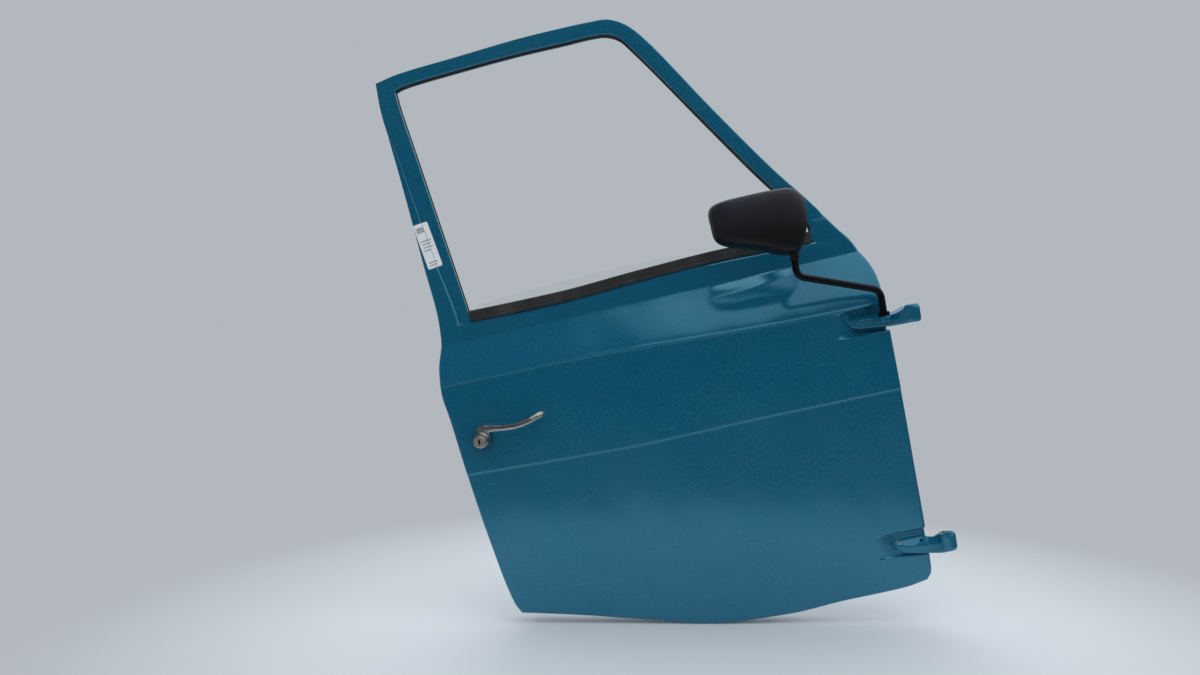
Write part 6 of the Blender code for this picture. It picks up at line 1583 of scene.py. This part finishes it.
slot_of = {entry["node"]: entry["material_slot"] for entry in frame["record"]["subparts"]}
for node, piece in frame["nodes"].items():
    paint(piece, by_slot[slot_of[node]])
for piece, material in (
    (outer_panel, TEAL_PAINT), (window_frame, TEAL_PAINT), (upper_strap, TEAL_PAINT),
    (lower_strap, TEAL_PAINT),
    (glass_run, BLACK_RUBBER), (outer_seal, BLACK_RUBBER), (inner_seal, BLACK_RUBBER),
    (outer_handle, CHROME), (mirror_housing, BLACK_PLASTIC), (mirror_tube, BLACK_ENAMEL), (label, LABEL),
    # The keyway piece is painted shade, in black enamel
    (handle_washer, BLACK_RUBBER), (sleeve, BLACK_PLASTIC), (keyway_shade, BLACK_ENAMEL),
    (frame["nodes"]["lock_barrel"], ZINC),
):
    paint(piece, material)
print("nodes painted", len(slot_of))

# %% [markdown]
# Turned and pressed nodes that stay in view get a hair of a chamfer, because no real edge is perfectly sharp
# and a sharp one catches no light.

# %% Soften the edges of small nodes
SOFT_EDGES = {
    "lock_barrel": 0.0006, "window_crank": 0.0012, "crank_knob": 0.0015, "crank_escutcheon": 0.0008,
    "inner_lever": 0.0015, "mirror_collar": 0.0006,
    "inner_panel": 0.0012, "square_spindle": 0.0004, "mirror_glass": 0.0004,
}
for node, width in SOFT_EDGES.items():
    piece = frame["nodes"][node]
    chamfer = piece.modifiers.new("Soft edges", "BEVEL")
    chamfer.width = width
    chamfer.segments = 2
    chamfer.limit_method = "ANGLE"
    chamfer.angle_limit = math.radians(35)
    chamfer.harden_normals = False
print("softened", len(SOFT_EDGES))

# %% [markdown]
# ## Floor, light and background
#
# The floor is level in the picture, so it is tilted by the same nine degrees as the camera, and it touches
# the panel at its lowest place. It fades out at its rim into the background, so it has no edge. Light comes
# from a wide soft panel overhead and in front, like an overcast sky, and a smaller one fills the inner side.

# %% Floor
skin_places = [outer_panel.matrix_world @ vertex.co for vertex in outer_panel.data.vertices]
lowest = min(skin_places, key=lambda place: place.dot(PICTURE_UP))
FLOOR_GAP, FLOOR_RADIUS = 0.0005, 1.3
floor_centre = lowest - PICTURE_UP * FLOOR_GAP


def fading_floor():
    floor = bpy.data.materials.new("pale_floor")
    floor.use_nodes = True
    tree = floor.node_tree
    shader = tree.nodes["Principled BSDF"]
    shader.inputs["Base Color"].default_value = (0.66, 0.69, 0.72, 1)
    shader.inputs["Roughness"].default_value = 0.75
    clear = tree.nodes.new("ShaderNodeBsdfTransparent")
    mix = tree.nodes.new("ShaderNodeMixShader")
    place = tree.nodes.new("ShaderNodeTexCoord").outputs["Object"]
    length = tree.nodes.new("ShaderNodeVectorMath")
    length.operation = "LENGTH"
    tree.links.new(place, length.inputs[0])
    tree.links.new(ramp(tree, length.outputs["Value"], 0.45, 1.25), mix.inputs["Fac"])
    tree.links.new(shader.outputs[0], mix.inputs[1])
    tree.links.new(clear.outputs[0], mix.inputs[2])
    tree.links.new(mix.outputs[0], tree.nodes["Material Output"].inputs["Surface"])
    return floor


floor_shape = bmesh.new()
bmesh.ops.create_circle(floor_shape, cap_ends=True, segments=96, radius=FLOOR_RADIUS)
floor_mesh = bpy.data.meshes.new("floor")
floor_shape.to_mesh(floor_mesh)
floor_shape.free()
floor = bpy.data.objects.new("floor", floor_mesh)
bpy.context.scene.collection.objects.link(floor)
turn = Vector((0, 0, 1)).rotation_difference(PICTURE_UP).to_matrix().to_4x4()
floor.matrix_world = Matrix.Translation(floor_centre) @ turn
floor.data.materials.append(fading_floor())
print("floor through", [round(c, 3) for c in floor_centre])

# %% Lights
# Both lamps aim at the middle of the door
middle = Vector((-0.44, 0.0, 0.46))


def soft_panel(name, place, size, power):
    data = bpy.data.lights.new(name, "AREA")
    data.shape = "RECTANGLE"
    data.size, data.size_y = size
    data.energy = power
    lamp = bpy.data.objects.new(name, data)
    bpy.context.scene.collection.objects.link(lamp)
    # The raised glass would show the lamp behind it as a white field
    lamp.visible_transmission = False
    lamp.location = place
    lamp.rotation_euler = (middle - Vector(place)).to_track_quat("-Z", "Y").to_euler()
    return lamp


overhead = soft_panel("overhead_sky", middle + PICTURE_UP * 2.3 - Vector((0, 1.5, 0)), (4.5, 3.2), 21)
behind = soft_panel("inside_fill", middle + PICTURE_UP * 1.2 + Vector((0, 2.2, 0)), (2.0, 2.0), 14)
# Glossy surfaces mirror the world's sky, which the next cell sets, and not the flat lamp
overhead.visible_glossy = False
print("lamps", overhead.name, behind.name)

# %% [markdown]
# The world does three jobs. To the camera, and through the glass, it is one pale colour. To a glossy surface
# it is a room: bright above, dim at eye level, and paler below where the floor lies, which is what draws the
# highlights on the shoulder and on the lower panel. To every other ray it is soft light, stronger from above.

# %% World
BACKGROUND = (0.445, 0.482, 0.512)
# Pairs of level and brightness, where level 0 is straight down in the picture and 1 is straight up
GLOSSY_SHADES = ((0.0, 0.19), (0.405, 0.18), (0.455, 0.10), (0.49, 0.03), (0.765, 0.040), (0.815, 0.64),
                 (1.0, 0.90))
SOFT_SHADES = ((0.0, 0.57), (0.44, 0.54), (0.52, 0.52), (0.70, 0.73), (1.0, 1.08))
SKY_LEAN = 1.05
world = bpy.data.worlds.new("pale_room")
bpy.context.scene.world = world
world.use_nodes = True
sky = world.node_tree
sky.nodes.clear()
output = sky.nodes.new("ShaderNodeOutputWorld")
direction = sky.nodes.new("ShaderNodeTexCoord").outputs["Generated"]


def part_along(towards):
    """How far the ray's direction goes towards another, from -1 to 1."""
    node = sky.nodes.new("ShaderNodeVectorMath")
    node.operation = "DOT_PRODUCT"
    sky.links.new(direction, node.inputs[0])
    node.inputs[1].default_value = towards
    return node.outputs["Value"]


def shade_ramp(level, shades, red, blue):
    """A colour that follows a level through pairs of level and brightness."""
    node = sky.nodes.new("ShaderNodeValToRGB")
    while len(node.color_ramp.elements) < len(shades):
        node.color_ramp.elements.new(0.5)
    for element, (position, value) in zip(node.color_ramp.elements, shades):
        element.position = position
        element.color = (value * red, value, value * blue, 1)
    sky.links.new(level, node.inputs["Fac"])
    return node.outputs["Color"]


def background(colour):
    node = sky.nodes.new("ShaderNodeBackground")
    if isinstance(colour, tuple):
        node.inputs["Color"].default_value = (*colour, 1)
    else:
        sky.links.new(colour, node.inputs["Color"])
    return node.outputs[0]


rise = part_along(PICTURE_UP)
level = math_node(sky, "ADD", math_node(sky, "MULTIPLY", rise, 0.5), 0.5)
# The bright sky starts higher towards the rear and lower towards the front
above = math_node(sky, "MAXIMUM", rise, 0.0)
lean = math_node(sky, "MULTIPLY", math_node(sky, "MULTIPLY", part_along(PICTURE_RIGHT), above), SKY_LEAN)
room = shade_ramp(math_node(sky, "ADD", level, lean), GLOSSY_SHADES, 0.97, 1.04)
soft = shade_ramp(level, SOFT_SHADES, 0.94, 1.05)
rays = sky.nodes.new("ShaderNodeLightPath")
seen = sky.nodes.new("ShaderNodeMixShader")
shiny = sky.nodes.new("ShaderNodeMixShader")
direct = math_node(sky, "MAXIMUM", rays.outputs["Is Camera Ray"], rays.outputs["Is Transmission Ray"])
sky.links.new(rays.outputs["Is Glossy Ray"], shiny.inputs["Fac"])
sky.links.new(background(soft), shiny.inputs[1])
sky.links.new(background(room), shiny.inputs[2])
sky.links.new(direct, seen.inputs["Fac"])
sky.links.new(shiny.outputs[0], seen.inputs[1])
sky.links.new(background(BACKGROUND), seen.inputs[2])
sky.links.new(seen.outputs[0], output.inputs["Surface"])
print("world ready")
